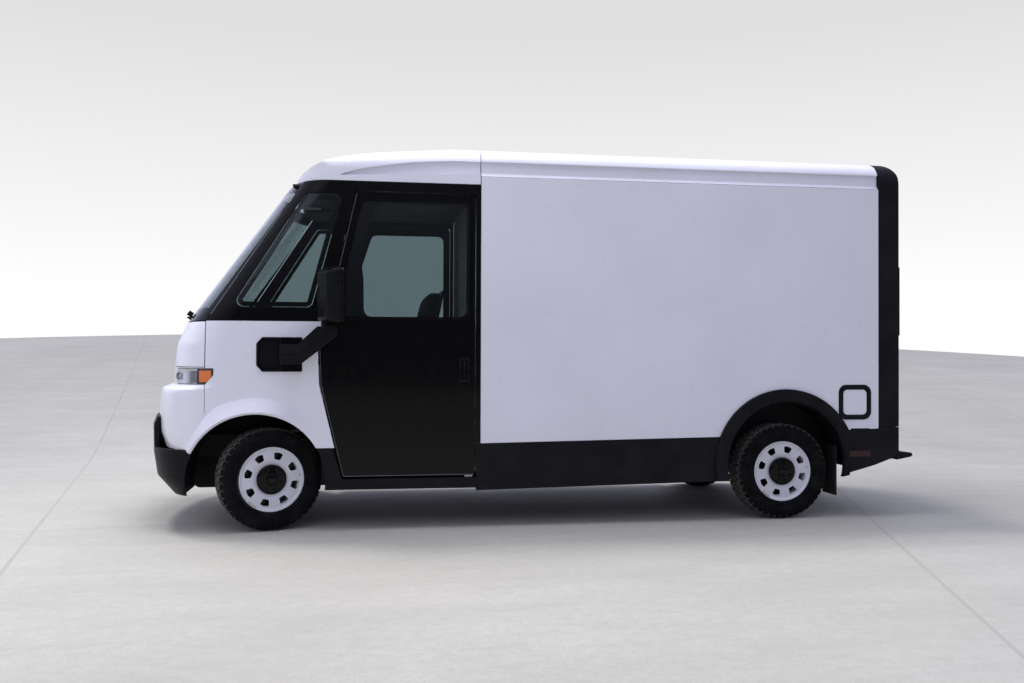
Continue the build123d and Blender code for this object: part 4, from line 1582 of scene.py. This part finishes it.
@dataclass
class SlidingDoors:
    """Dress of the sliding cab doors: edge bead that paints a highlight line, glass border, inner panel,
    roller and pull.
    """

    window: tuple[tuple[float, float], ...] = (
        (-1.372, 2.375), (-1.570, 1.515), (-0.575, 1.515), (-0.575, 2.375),
    )

    def bead(self) -> bpy.types.Object:
        """Runs the bright steel bead down the front edge and along the bottom; it is a painted highlight,
        standing in for the light along the door's shut line and bottom edge.

        Returns:
            The bead.
        """
        front = [(-1.402, 2.415), (-1.657, 1.290), (-1.647, 1.044), (-1.488, 0.386)]
        # painted highlight: a bright strip along the door's front and bottom edges
        bead = Bench.prism("left_door_bead", strip(front + [(-0.552, 0.386)], 0.0040), (-1.0085, -1.0125))
        return Bench.round_edges(bead, 0.001, 2)

    def border(self) -> bpy.types.Object:
        """Frames the glass with a black border."""
        border = Bench.ring("left_window_border", rounded(self.window, 0.05), 0.014, (-1.0075, -1.0095))
        return Bench.round_edges(border, 0.0006, 2)

    def lining(self) -> bpy.types.Object:
        """Lines the door's inner face.

        Returns:
            The lining.
        """
        corners = [(-1.600, 1.46), (-1.610, 1.05), (-1.460, 0.43), (-0.590, 0.43), (-0.590, 1.46)]
        lining = Bench.prism("left_door_lining", rounded(corners, 0.06), (-0.9675, -0.9625))
        Bench.recess(lining, lambda _, normal: normal.y > 0.9, (0.035, 0.0), (0.012, -0.0025))
        return Bench.round_edges(lining, 0.0015, 2)

    def inner_frame(self) -> bpy.types.Object:
        """Trims the window on the inside with a dark frame that has a rounded opening.

        Returns:
            The frame.
        """
        outline = [(-1.385, 2.395), (-1.590, 1.498), (-0.565, 1.498), (-0.565, 2.395)]
        opening = [
            (-1.262, 2.352), (-1.378, 2.000), (-1.352, 1.800), (-1.348, 1.530), (-0.605, 1.530),
            (-0.605, 2.352),
        ]
        frame_trim = Bench.prism("left_inner_frame", rounded(outline, 0.02), (-0.9675, -0.9625))
        cutter = Bench.prism("opening", rounded(opening, 0.055), (-0.98, -0.95))
        Bench.modify(frame_trim, "BOOLEAN", operation="DIFFERENCE", object=cutter, solver="EXACT")
        bpy.data.objects.remove(cutter)
        return Bench.round_edges(frame_trim, 0.0015, 2)

    def roller(self) -> bpy.types.Object:
        """Hangs the bottom roller on its bracket.

        Returns:
            Roller and bracket.
        """
        wheel = Bench.rod("roller", (-0.590, -1.006, 0.362), (-0.590, -0.990, 0.362), 0.014, 24)
        Bench.round_edges(wheel, 0.002, 2)
        bracket = Bench.box("bracket", (-0.618, -1.0095, 0.366), (-0.560, -1.004, 0.392))
        Bench.round_edges(bracket, 0.003, 2)
        return Bench.join("left_door_roller", [wheel, bracket])

    def pull(self) -> bpy.types.Object:
        """Makes the flush outside pull near the rear edge.

        Returns:
            The pull.
        """
        shell = Bench.box("shell", (-0.655, -1.0125, 1.060), (-0.585, -1.0085, 1.235))
        Bench.recess(shell, lambda _, normal: normal.y < -0.9, (0.008, 0.0), (0.003, -0.0025))
        Bench.round_edges(shell, 0.0012, 2)
        bar = Bench.box("bar", (-0.628, -1.0135, 1.085), (-0.612, -1.0105, 1.210))
        Bench.round_edges(bar, 0.0014, 3)
        return Bench.join("left_door_pull", [shell, bar])

    def track(self) -> bpy.types.Object:
        """Lays the bottom track behind the door's lower edge, with black sheets that close the step there;
        the track is a real part, and the black sheets are painted shade, dark where the gap behind the door
        lies in shadow.

        Returns:
            Track and sheets.
        """
        track = Bench.box("left_door_track", (-1.50, -1.004, 0.334), (-0.47, -0.950, 0.352))
        Bench.recess(track, lambda _, normal: normal.z > 0.9, (0.010, 0.0), (0.001, -0.010))
        # painted shade: these black sheets behind the door gap stand in for the shadow there
        wall = Bench.box("left_track_wall", (-1.60, -0.952, 0.334), (-0.47, -0.9485, 0.400))
        shade_jamb = Bench.box("left_door_jamb", (-1.645, -0.952, 0.334), (-1.450, -0.9485, 0.620))
        Bench.round_edges(track, 0.0015, 2)
        for sheet in (wall, shade_jamb):
            Bench.round_edges(sheet, 0.001, 2)
        return Bench.join("left_door_track", [track, wall, shade_jamb])

    def build(self) -> None:
        """Fits both doors."""
        plan = (
            # the door bead is a painted highlight line along the door's edges
            (self.bead(), "door_bead", "cab_door", HIGHLIGHT_BEAD, "latch_steel"),
            (self.border(), "window_border", "cab_door", BLACK_GLOSS, "gloss_black"),
            (self.lining(), "door_lining", "cab_door", INTERIOR, "interior_grey"),
            (self.inner_frame(), "inner_frame", "cab_door", INTERIOR, "interior_grey"),
            (self.roller(), "door_roller", "cab_door", STEEL, "latch_steel"),
            (self.pull(), "door_pull", "cab_door", BLACK_SATIN, "trim_black"),
            # the track's black sheets are painted shade behind the door gap
            (self.track(), "door_track", "", BLACK_TRIM, "trim_black"),
        )
        for row in plan:
            fit_both(*row)


@dataclass
class Glasshouse:
    """Windscreen and quarter glass with the painted border, and the trim round them."""

    side_border: float = 0.93
    low_border: float = 1.585
    high_border: float = 2.42
    screen_edge: float = 0.985

    def panes(self) -> tuple[bpy.types.Object, bpy.types.Object]:
        """Cuts the CAD glass into clear panes and a black border.

        Returns:
            Panes and border.
        """
        panes = Bench.refined("cab_glazing", "cab_panes", 0)
        Bench.edit(panes, "FACE", "SELECT")
        for place, normal in (
            ((0, -self.side_border, 0), (0, 1, 0)), ((0, self.side_border, 0), (0, 1, 0)),
            ((0, 0, self.low_border), (0, 0, 1)), ((0, 0, self.high_border), (0, 0, 1)),
        ):
            bpy.ops.mesh.select_all(action="SELECT")
            bpy.ops.mesh.bisect(plane_co=place, plane_no=normal)
        bpy.ops.mesh.select_all(action="DESELECT")

        def painted(centre: Vector, _: Vector) -> bool:
            """Tells whether a face of the windscreen lies in its border."""
            beside = abs(centre.y) > self.side_border
            level = self.low_border < centre.z < self.high_border
            return abs(centre.y) < self.screen_edge and (beside or not level)

        Bench.pick_faces(panes, painted)
        bpy.ops.mesh.separate(type="SELECTED")
        Bench.deselect()
        border = next(o for o in bpy.data.objects if o.name.startswith("cab_panes.") and o.type == "MESH")
        border.name = border.data.name = "screen_border"
        for piece in (panes, border):
            Bench.smooth(piece, 20)
        return panes, border

    def quarter_border(self) -> bpy.types.Object:
        """Frames the left quarter glass.

        Returns:
            The border.
        """
        outline = [(-2.262, 1.594), (-1.722, 1.594), (-1.508, 2.396), (-1.761, 2.396)]
        border = Bench.ring("left_quarter_border", rounded(outline, 0.045), 0.034, (-1.0075, -1.0105))
        return Bench.round_edges(border, 0.0006, 2)

    def cowl(self) -> bpy.types.Object:
        """Fills the gap between hood and windscreen with a dark cowl strip.

        Returns:
            The cowl.
        """
        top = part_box("hood")[1].z
        cowl = Bench.box("cowl", (-2.56, -0.70, top - 0.012), (-2.50, 0.70, top - 0.002))
        Bench.recess(cowl, lambda _, normal: normal.z > 0.9, (0.006, -0.004))
        return Bench.round_edges(cowl, 0.002, 2)

    def build(self) -> None:
        """Fits the glass."""
        panes, border = self.panes()
        fit(panes, "body", GLASS, ["cab_glazing"])
        fit(border, "body", BLACK_GLOSS)
        fit_both(self.quarter_border(), "quarter_border", "", BLACK_GLOSS, "gloss_black")
        fit(self.cowl(), "body", BLACK_TRIM)


@dataclass
class Mirrors:
    """Folding mirror heads: rounded shell, flat glass and wide-angle glass."""

    centre: Point = (-1.588, -1.215, 1.665)
    half: Point = (0.056, 0.113, 0.199)
    turn: float = 25.0

    def shell(self) -> bpy.types.Object:
        """Shapes the shell of the left head.

        Returns:
            The shell.
        """
        x, y, z = self.half
        shell = Bench.box("left_mirror_shell", (-x, -y, -z), (x, y, z))
        Bench.edit(shell)
        Bench.pick_faces(shell, lambda _, normal: normal.x < -0.9)
        bpy.ops.transform.resize(value=(1.0, 0.80, 0.86))
        Bench.recess(shell, lambda _, normal: normal.x > 0.9, (0.010, 0.0), (0.004, -0.012))
        Bench.edit(shell, "EDGE")
        edge = 0.97

        def outer(place: Vector, _: Vector) -> bool:
            """Tells whether an edge lies on the shell's outside."""
            return place.x < x - 0.004 or max(abs(place.y) / y, abs(place.z) / z) > edge

        Bench.pick_edges(shell, outer)
        bpy.ops.mesh.bevel(offset=0.026, segments=6, profile=0.55)
        Bench.deselect()
        side_view = [(-0.050, 0.178), (0.048, 0.198), (0.050, 0.203), (-0.050, 0.184)]
        brow = Bench.round_edges(Bench.prism("brow", side_view, (-0.085, 0.085)), 0.002, 2)
        shell = Bench.join("left_mirror_shell", [shell, brow])
        stem = Bench.rod("stem", (-0.012, 0.05, -0.212), (-0.012, 0.05, -0.170), 0.024, 32)
        Bench.round_edges(stem, 0.003, 2)
        shell = Bench.join("left_mirror_shell", [shell, stem])
        Bench.smooth(shell, 40)
        return Bench.placed(shell, self.place())

    def glass(self) -> bpy.types.Object:
        """Cuts the two glasses of the left head.

        Returns:
            The glasses.
        """
        x, y, z = self.half
        flat = Bench.box("flat", (x - 0.012, -y + 0.018, -z + 0.125), (x - 0.007, y - 0.018, z - 0.018))
        wide = Bench.box("wide", (x - 0.012, -y + 0.018, -z + 0.018), (x - 0.006, y - 0.018, -z + 0.117))
        for pane in (flat, wide):
            Bench.edit(pane, "EDGE")
            Bench.pick_edges(pane, lambda _, line: abs(line.x) > 0.9)
            bpy.ops.mesh.bevel(offset=0.014, segments=5)
            Bench.round_edges(pane, 0.0012, 2)
        return Bench.placed(Bench.join("left_mirror_glass", [flat, wide]), self.place())

    def place(self) -> Matrix:
        """Where the head stands.

        Returns:
            Its matrix.
        """
        return Matrix.Translation(self.centre) @ Matrix.Rotation(math.radians(self.turn), 4, "Z")

    def arm_trim(self) -> bpy.types.Object:
        """Adds the ribs along the left arm and the joint's collar.

        Returns:
            The trim.
        """
        path = [(-1.905, 1.262), (-1.790, 1.262), (-1.600, 1.412)]
        rib = Bench.prism("rib", strip(path, 0.008), (-1.1895, -1.1935))
        Bench.round_edges(rib, 0.0015, 2)
        collar = Bench.rod("collar", (-1.600, -1.165, 1.449), (-1.600, -1.165, 1.456), 0.034, 40)
        Bench.round_edges(collar, 0.002, 2)
        return Bench.join("left_arm_trim", [rib, collar])

    def build(self) -> None:
        """Fits both heads."""
        plan = (
            (self.shell(), "mirror_shell", "mirror", BLACK_SATIN, "trim_black", "mirror"),
            (self.glass(), "mirror_glass", "mirror", MIRROR_GLASS, "latch_steel"),
            (self.arm_trim(), "arm_trim", "", BLACK_SATIN, "trim_black"),
        )
        for row in plan:
            fit_both(*row)


@dataclass
class GrilleMesh:
    """Hexagonal mesh let into each fender plate."""

    low: tuple[float, float] = (-2.072, 1.160)
    high: tuple[float, float] = (-1.935, 1.352)
    pitch: float = 0.0135
    corner_cut: float = 0.032
    frame_outline: tuple[tuple[float, float], ...] = (
        (-2.090, 1.172), (-2.055, 1.139), (-1.925, 1.139), (-1.925, 1.371), (-2.055, 1.371), (-2.090, 1.338),
    )

    def build(self) -> None:
        """Weaves the mesh and fits both sides."""
        across = self.pitch * 0.866
        columns = int((self.high[0] - self.low[0]) / across)
        rows = int((self.high[1] - self.low[1]) / self.pitch)
        cell = self.cell()
        cells = []
        for column in range(columns):
            for line in range(rows):
                x = self.low[0] + (column + 0.5) * across
                z = self.low[1] + (line + 0.5 + 0.5 * (column % 2)) * self.pitch
                if x - self.low[0] + min(z - self.low[1], self.high[1] - z) < self.corner_cut:
                    continue
                cells.append(Bench.placed(Bench.copy(cell, "cell"), Matrix.Translation((x, 0, z))))
        bpy.data.objects.remove(cell)
        left = Bench.join("left_grille_mesh", cells)
        rim = Bench.ring("left_grille_rim", rounded(self.frame_outline, 0.012), 0.007, (-1.0375, -1.0405))
        Bench.round_edges(rim, 0.001, 2)
        left = Bench.join("left_grille_mesh", [left, rim])
        fit_both(left, "grille_mesh", "", BLACK_SATIN, "trim_black")

    def cell(self) -> bpy.types.Object:
        """Makes one open cell.

        Returns:
            The cell at the origin.
        """
        radius = self.pitch / math.sqrt(3)
        angles = [math.radians(60 * corner) for corner in range(6)]
        outline = [(radius * math.cos(angle), radius * math.sin(angle)) for angle in angles]
        return Bench.ring("cell", outline, 0.0018, (-1.0375, -1.0400))


@dataclass
class Headlamps:
    """Lamps behind clear lenses: plated bowl, twin projectors, amber turn lamp and dark surround."""

    amber_from: float = -2.500

    def build(self) -> None:
        """Fits both lamps."""
        lens = Bench.refined("headlamps", "headlamp_lenses", 0)
        plated = self.core("headlamp_bowls", 0.007, (-9.0, self.amber_from), (0.0, 9.0))
        dark = self.core("headlamp_surrounds", 0.012, (self.amber_from, 9.0), (0.0, 9.0))
        amber = self.core("turn_lamps", 0.006, (self.amber_from + 0.014, -2.402), (1.060, 1.141))
        fit(lens, "body", CLEAR_SHELL, ["headlamps"])
        fit(plated, "body", CHROME)
        fit(dark, "body", BLACK_SATIN)
        fit(amber, "body", AMBER)
        fit_both(self.projectors(), "projectors", "", STEEL, "latch_steel")

    def core(
        self, name: str, depth: float, along: tuple[float, float], high: tuple[float, float]
    ) -> bpy.types.Object:
        """Cuts an inner block out of both lenses.

        Args:
            name: the block's name.
            depth: how far it lies under the lens.
            along: its lowest and highest X.
            high: its lowest and highest Z.

        Returns:
            The block, of both sides.
        """
        block = Bench.refined("headlamps", name, 0)
        Bench.edit(block, "FACE", "SELECT")
        bpy.ops.transform.shrink_fatten(value=-depth)
        for axis, bounds in ((0, along), (2, high)):
            for bound, sign in zip(bounds, (-1, 1)):
                place, normal = [0.0, 0.0, 0.0], [0.0, 0.0, 0.0]
                place[axis], normal[axis] = bound, sign
                bpy.ops.mesh.select_all(action="SELECT")
                bpy.ops.mesh.bisect(plane_co=place, plane_no=normal, clear_outer=True, use_fill=True)
        Bench.deselect()
        return Bench.smooth(block, 30)

    def projectors(self) -> bpy.types.Object:
        """Turns the two lamp barrels of the left side.

        Returns:
            The barrels.
        """
        parts = []
        profile = [(0.022, -0.012), (0.029, -0.012), (0.029, 0.010), (0.020, 0.010)]
        for x, y in ((-2.640, -0.845), (-2.575, -0.905)):
            ring = Bench.round_edges(Bench.turned("barrel", profile, 40), 0.0012, 2)
            turn = Matrix.Translation((x, y, 1.100)) @ Matrix.Rotation(math.radians(-40), 4, "Z")
            parts.append(Bench.placed(ring, turn))
        return Bench.join("left_projectors", parts)


@dataclass
class CabFittings:
    """What shows through the glass: headliner, sun visors, pedals, instrument hood and a map light."""

    def headliner(self) -> bpy.types.Object:
        """Hangs the dark headliner.

        Returns:
            The headliner.
        """
        liner = Bench.box("headliner", (-1.86, -0.90, 2.468), (-0.52, 0.90, 2.486))
        Bench.recess(liner, lambda _, normal: normal.z < -0.9, (0.10, 0.0), (0.015, -0.006))
        return Bench.round_edges(liner, 0.004)

    def visor(self) -> bpy.types.Object:
        """Makes the left sun visor."""
        return Bench.round_edges(Bench.box("left_visor", (-1.83, -0.72, 2.444), (-1.62, -0.16, 2.456)), 0.005)

    def pedals(self) -> bpy.types.Object:
        """Makes the two pedals on their arms.

        Returns:
            The pedals.
        """
        parts = []
        for y, half in ((-0.56, 0.045), (-0.42, 0.030)):
            pad = Bench.box("pad", (-2.11, y - half, 0.775), (-2.095, y + half, 0.865))
            Bench.recess(pad, lambda _, normal: normal.x > 0.9, (0.008, 0.0), (0.002, -0.002))
            Bench.round_edges(pad, 0.003, 2)
            stalk = Bench.rod("stalk", (-2.108, y, 0.84), (-2.14, y, 0.93), 0.010, 16)
            Bench.round_edges(stalk, 0.002, 2)
            parts += [pad, stalk]
        return Bench.join("pedals", parts)

    def cluster(self) -> bpy.types.Object:
        """Sets the instrument hood over the column.

        Returns:
            The hood.
        """
        outline = rounded([(-2.20, 1.43), (-2.06, 1.425), (-2.02, 1.475), (-2.15, 1.50)], 0.01)
        hood = Bench.prism("cluster_hood", outline, (-0.64, -0.32))
        Bench.recess(hood, lambda centre, normal: normal.x > 0.6 and centre.x > -2.06, (0.006, -0.003))
        return Bench.round_edges(hood, 0.003, 2)

    def map_light(self) -> bpy.types.Object:
        """Makes the small light inside the left corner of the header."""
        lamp = Bench.box("map_light", (-1.76, -0.915, 2.300), (-1.66, -0.895, 2.318))
        return Bench.round_edges(lamp, 0.004)

    def build(self) -> None:
        """Fits them all."""
        fit(self.headliner(), "body", INTERIOR)
        fit_both(self.visor(), "visor", "", INTERIOR, "interior_grey")
        fit(self.pedals(), "body", BLACK_TRIM)
        fit(self.cluster(), "body", INTERIOR)
        fit(self.map_light(), "body", LINER_GREY)


@dataclass
class SeatPads:
    """Stuffed cushion and backrest of the driver's seat."""

    voxel: float = 0.006
    pressure: float = 4.0
    reach: float = 0.024
    shrink: Point = (0.955, 0.965, 0.90)
    frames: int = 15

    def stuffed(self, node: str, name: str) -> bpy.types.Object:
        """Blows one pad up under its cover.

        Args:
            node: the CAD node it stands for.
            name: the pad's name.

        Returns:
            The pad.
        """
        pad = Bench.refined(node, name, 0)
        low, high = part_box(node)
        middle = Matrix.Translation((low + high) / 2)
        Bench.placed(pad, middle @ Matrix.Diagonal((*self.shrink, 1)) @ middle.inverted())
        Bench.modify(pad, "REMESH", mode="VOXEL", voxel_size=self.voxel)
        rest = [vertex.co.copy() for vertex in pad.data.vertices]
        cloth = pad.modifiers.new("Cloth", "CLOTH")
        cloth.settings.use_pressure = True
        cloth.settings.uniform_pressure_force = self.pressure
        cloth.settings.effector_weights.gravity = 0
        cloth.settings.quality = 5
        scene = bpy.context.scene
        for number in range(self.frames):
            scene.frame_set(number + 1)
        Bench.only(pad)
        bpy.ops.object.modifier_apply(modifier=cloth.name)
        scene.frame_set(1)
        for vertex, start in zip(pad.data.vertices, rest):
            move = vertex.co - start
            if move.length > self.reach:
                vertex.co = start + move.normalized() * self.reach
        Bench.modify(pad, "SMOOTH", iterations=4, factor=0.5)
        return pad

    def build(self) -> None:
        """Fits both pads."""
        for node in ("seat_cushion", "seat_back"):
            pad = self.stuffed(node, f"{node}_pad")
            Bench.smooth(pad, 60)
            fit(pad, "driver_seat", SEAT_CLOTH, [node])


@dataclass
class RearEnd:
    """Hinges, grab bars, pressed door fields, marker lamps, step trim and side reflectors on the back."""

    hinge_line: float = 0.930

    def hinges(self) -> bpy.types.Object:
        """Makes the left door's three hinges.

        Returns:
            The hinges.
        """
        parts = []
        y = -self.hinge_line
        for z in (0.92, 1.60, 2.28):
            knuckle = Bench.rod("knuckle", (2.812, y, z - 0.045), (2.812, y, z + 0.045), 0.011, 24)
            leaf = Bench.box("leaf", (2.806, y + 0.008, z - 0.032), (2.813, y + 0.110, z + 0.032))
            parts += [Bench.round_edges(part, 0.002, 2) for part in (knuckle, leaf)]
        return Bench.join("left_rear_hinges", parts)

    def grab_bar(self) -> bpy.types.Object:
        """Makes the grab bar beside the left rear door.

        Returns:
            The bar.
        """
        parts = [Bench.rod("bar", (2.838, -0.965, 1.42), (2.838, -0.965, 1.96), 0.012, 24)]
        for z in (1.44, 1.94):
            parts.append(Bench.rod("foot", (2.800, -0.965, z), (2.840, -0.965, z), 0.011, 24))
        for part in parts:
            Bench.round_edges(part, 0.003, 3)
        return Bench.join("left_grab_bar", parts)

    def door_pressing(self) -> bpy.types.Object:
        """Presses a raised field into the left rear door's skin.

        Returns:
            The field.
        """
        field_piece = Bench.box("left_door_field", (2.8055, -0.86, 0.86), (2.8105, -0.10, 2.40))
        Bench.recess(field_piece, lambda _, normal: normal.x > 0.9, (0.03, 0.0), (0.012, -0.003))
        return Bench.round_edges(field_piece, 0.002, 2)

    def markers(self) -> bpy.types.Object:
        """Makes the row of red marker lamps over the doors.

        Returns:
            The lamps.
        """
        parts = []
        for y in (-0.78, -0.12, 0.0, 0.12, 0.78):
            lamp = Bench.box("marker", (2.803, y - 0.032, 2.640), (2.812, y + 0.032, 2.660))
            parts.append(Bench.round_edges(lamp, 0.003))
        return Bench.join("rear_markers", parts)

    def step_end(self) -> bpy.types.Object:
        """Wraps the left end of the rear step.

        Returns:
            The end.
        """
        corners = [(2.800, 0.440), (2.925, 0.462), (2.943, 0.478), (2.930, 0.494), (2.800, 0.506)]
        end = Bench.prism("left_step_end", rounded(corners, 0.006, 3), (-1.000, -0.902))
        return Bench.round_edges(end, 0.006)

    def step_pads(self) -> bpy.types.Object:
        """Lays ribbed pads on the rear step.

        Returns:
            The pads.
        """
        parts = []
        for number in range(7):
            x = 2.822 + 0.014 * number
            rib = Bench.box("rib", (x, -0.86, 0.4935), (x + 0.008, 0.86, 0.4975))
            parts.append(Bench.round_edges(rib, 0.0012, 2))
        return Bench.join("rear_step_pads", parts)

    def side_reflector(self) -> bpy.types.Object:
        """Makes the red reflector on the left rear skirt."""
        lens = Bench.box("left_side_reflector", (2.345, -1.0385, 0.472), (2.560, -1.0335, 0.520))
        return Bench.round_edges(lens, 0.0022)

    def build(self) -> None:
        """Fits the back."""
        pairs = (
            (self.hinges(), "rear_hinges", "rear_door", STEEL, "latch_steel"),
            (self.door_pressing(), "rear_door_field", "rear_door", WHITE, "body_white"),
            (self.grab_bar(), "grab_bar", "", BLACK_SATIN, "trim_black"),
            (self.side_reflector(), "side_reflector", "", DARK_RED, "lamp_red"),
            (self.step_end(), "step_end", "", BLACK_TRIM, "trim_black"),
        )
        for row in pairs:
            fit_both(*row)
        fit(self.markers(), "body", RED_LENS)
        fit(self.step_pads(), "body", FLAP)


def dress_frame() -> None:
    """Gives every CAD node the finish of its slot."""
    for subpart in frame["record"]["subparts"]:
        node = frame["nodes"][subpart["node"]]
        finish = SLOT_FINISHES[subpart["material_slot"]]
        node.data.materials.clear()
        node.data.materials.append(finish.material())


def main() -> None:
    """Builds the truck's looks piece by piece."""
    logging.basicConfig(level=logging.INFO, format="%(message)s")
    dress_frame()
    Studio().build()
    for assembly in (
        Glasshouse(), Headlamps(), SeatPads(), Panels(), RoadWheel(), Arches(), SlidingDoors(), Mirrors(),
        GrilleMesh(), CabFittings(), RearEnd(),
    ):
        LOG.info("-- %s", type(assembly).__name__)
        assembly.build()
    Bench.deselect()


if __name__ == "__main__":
    main()
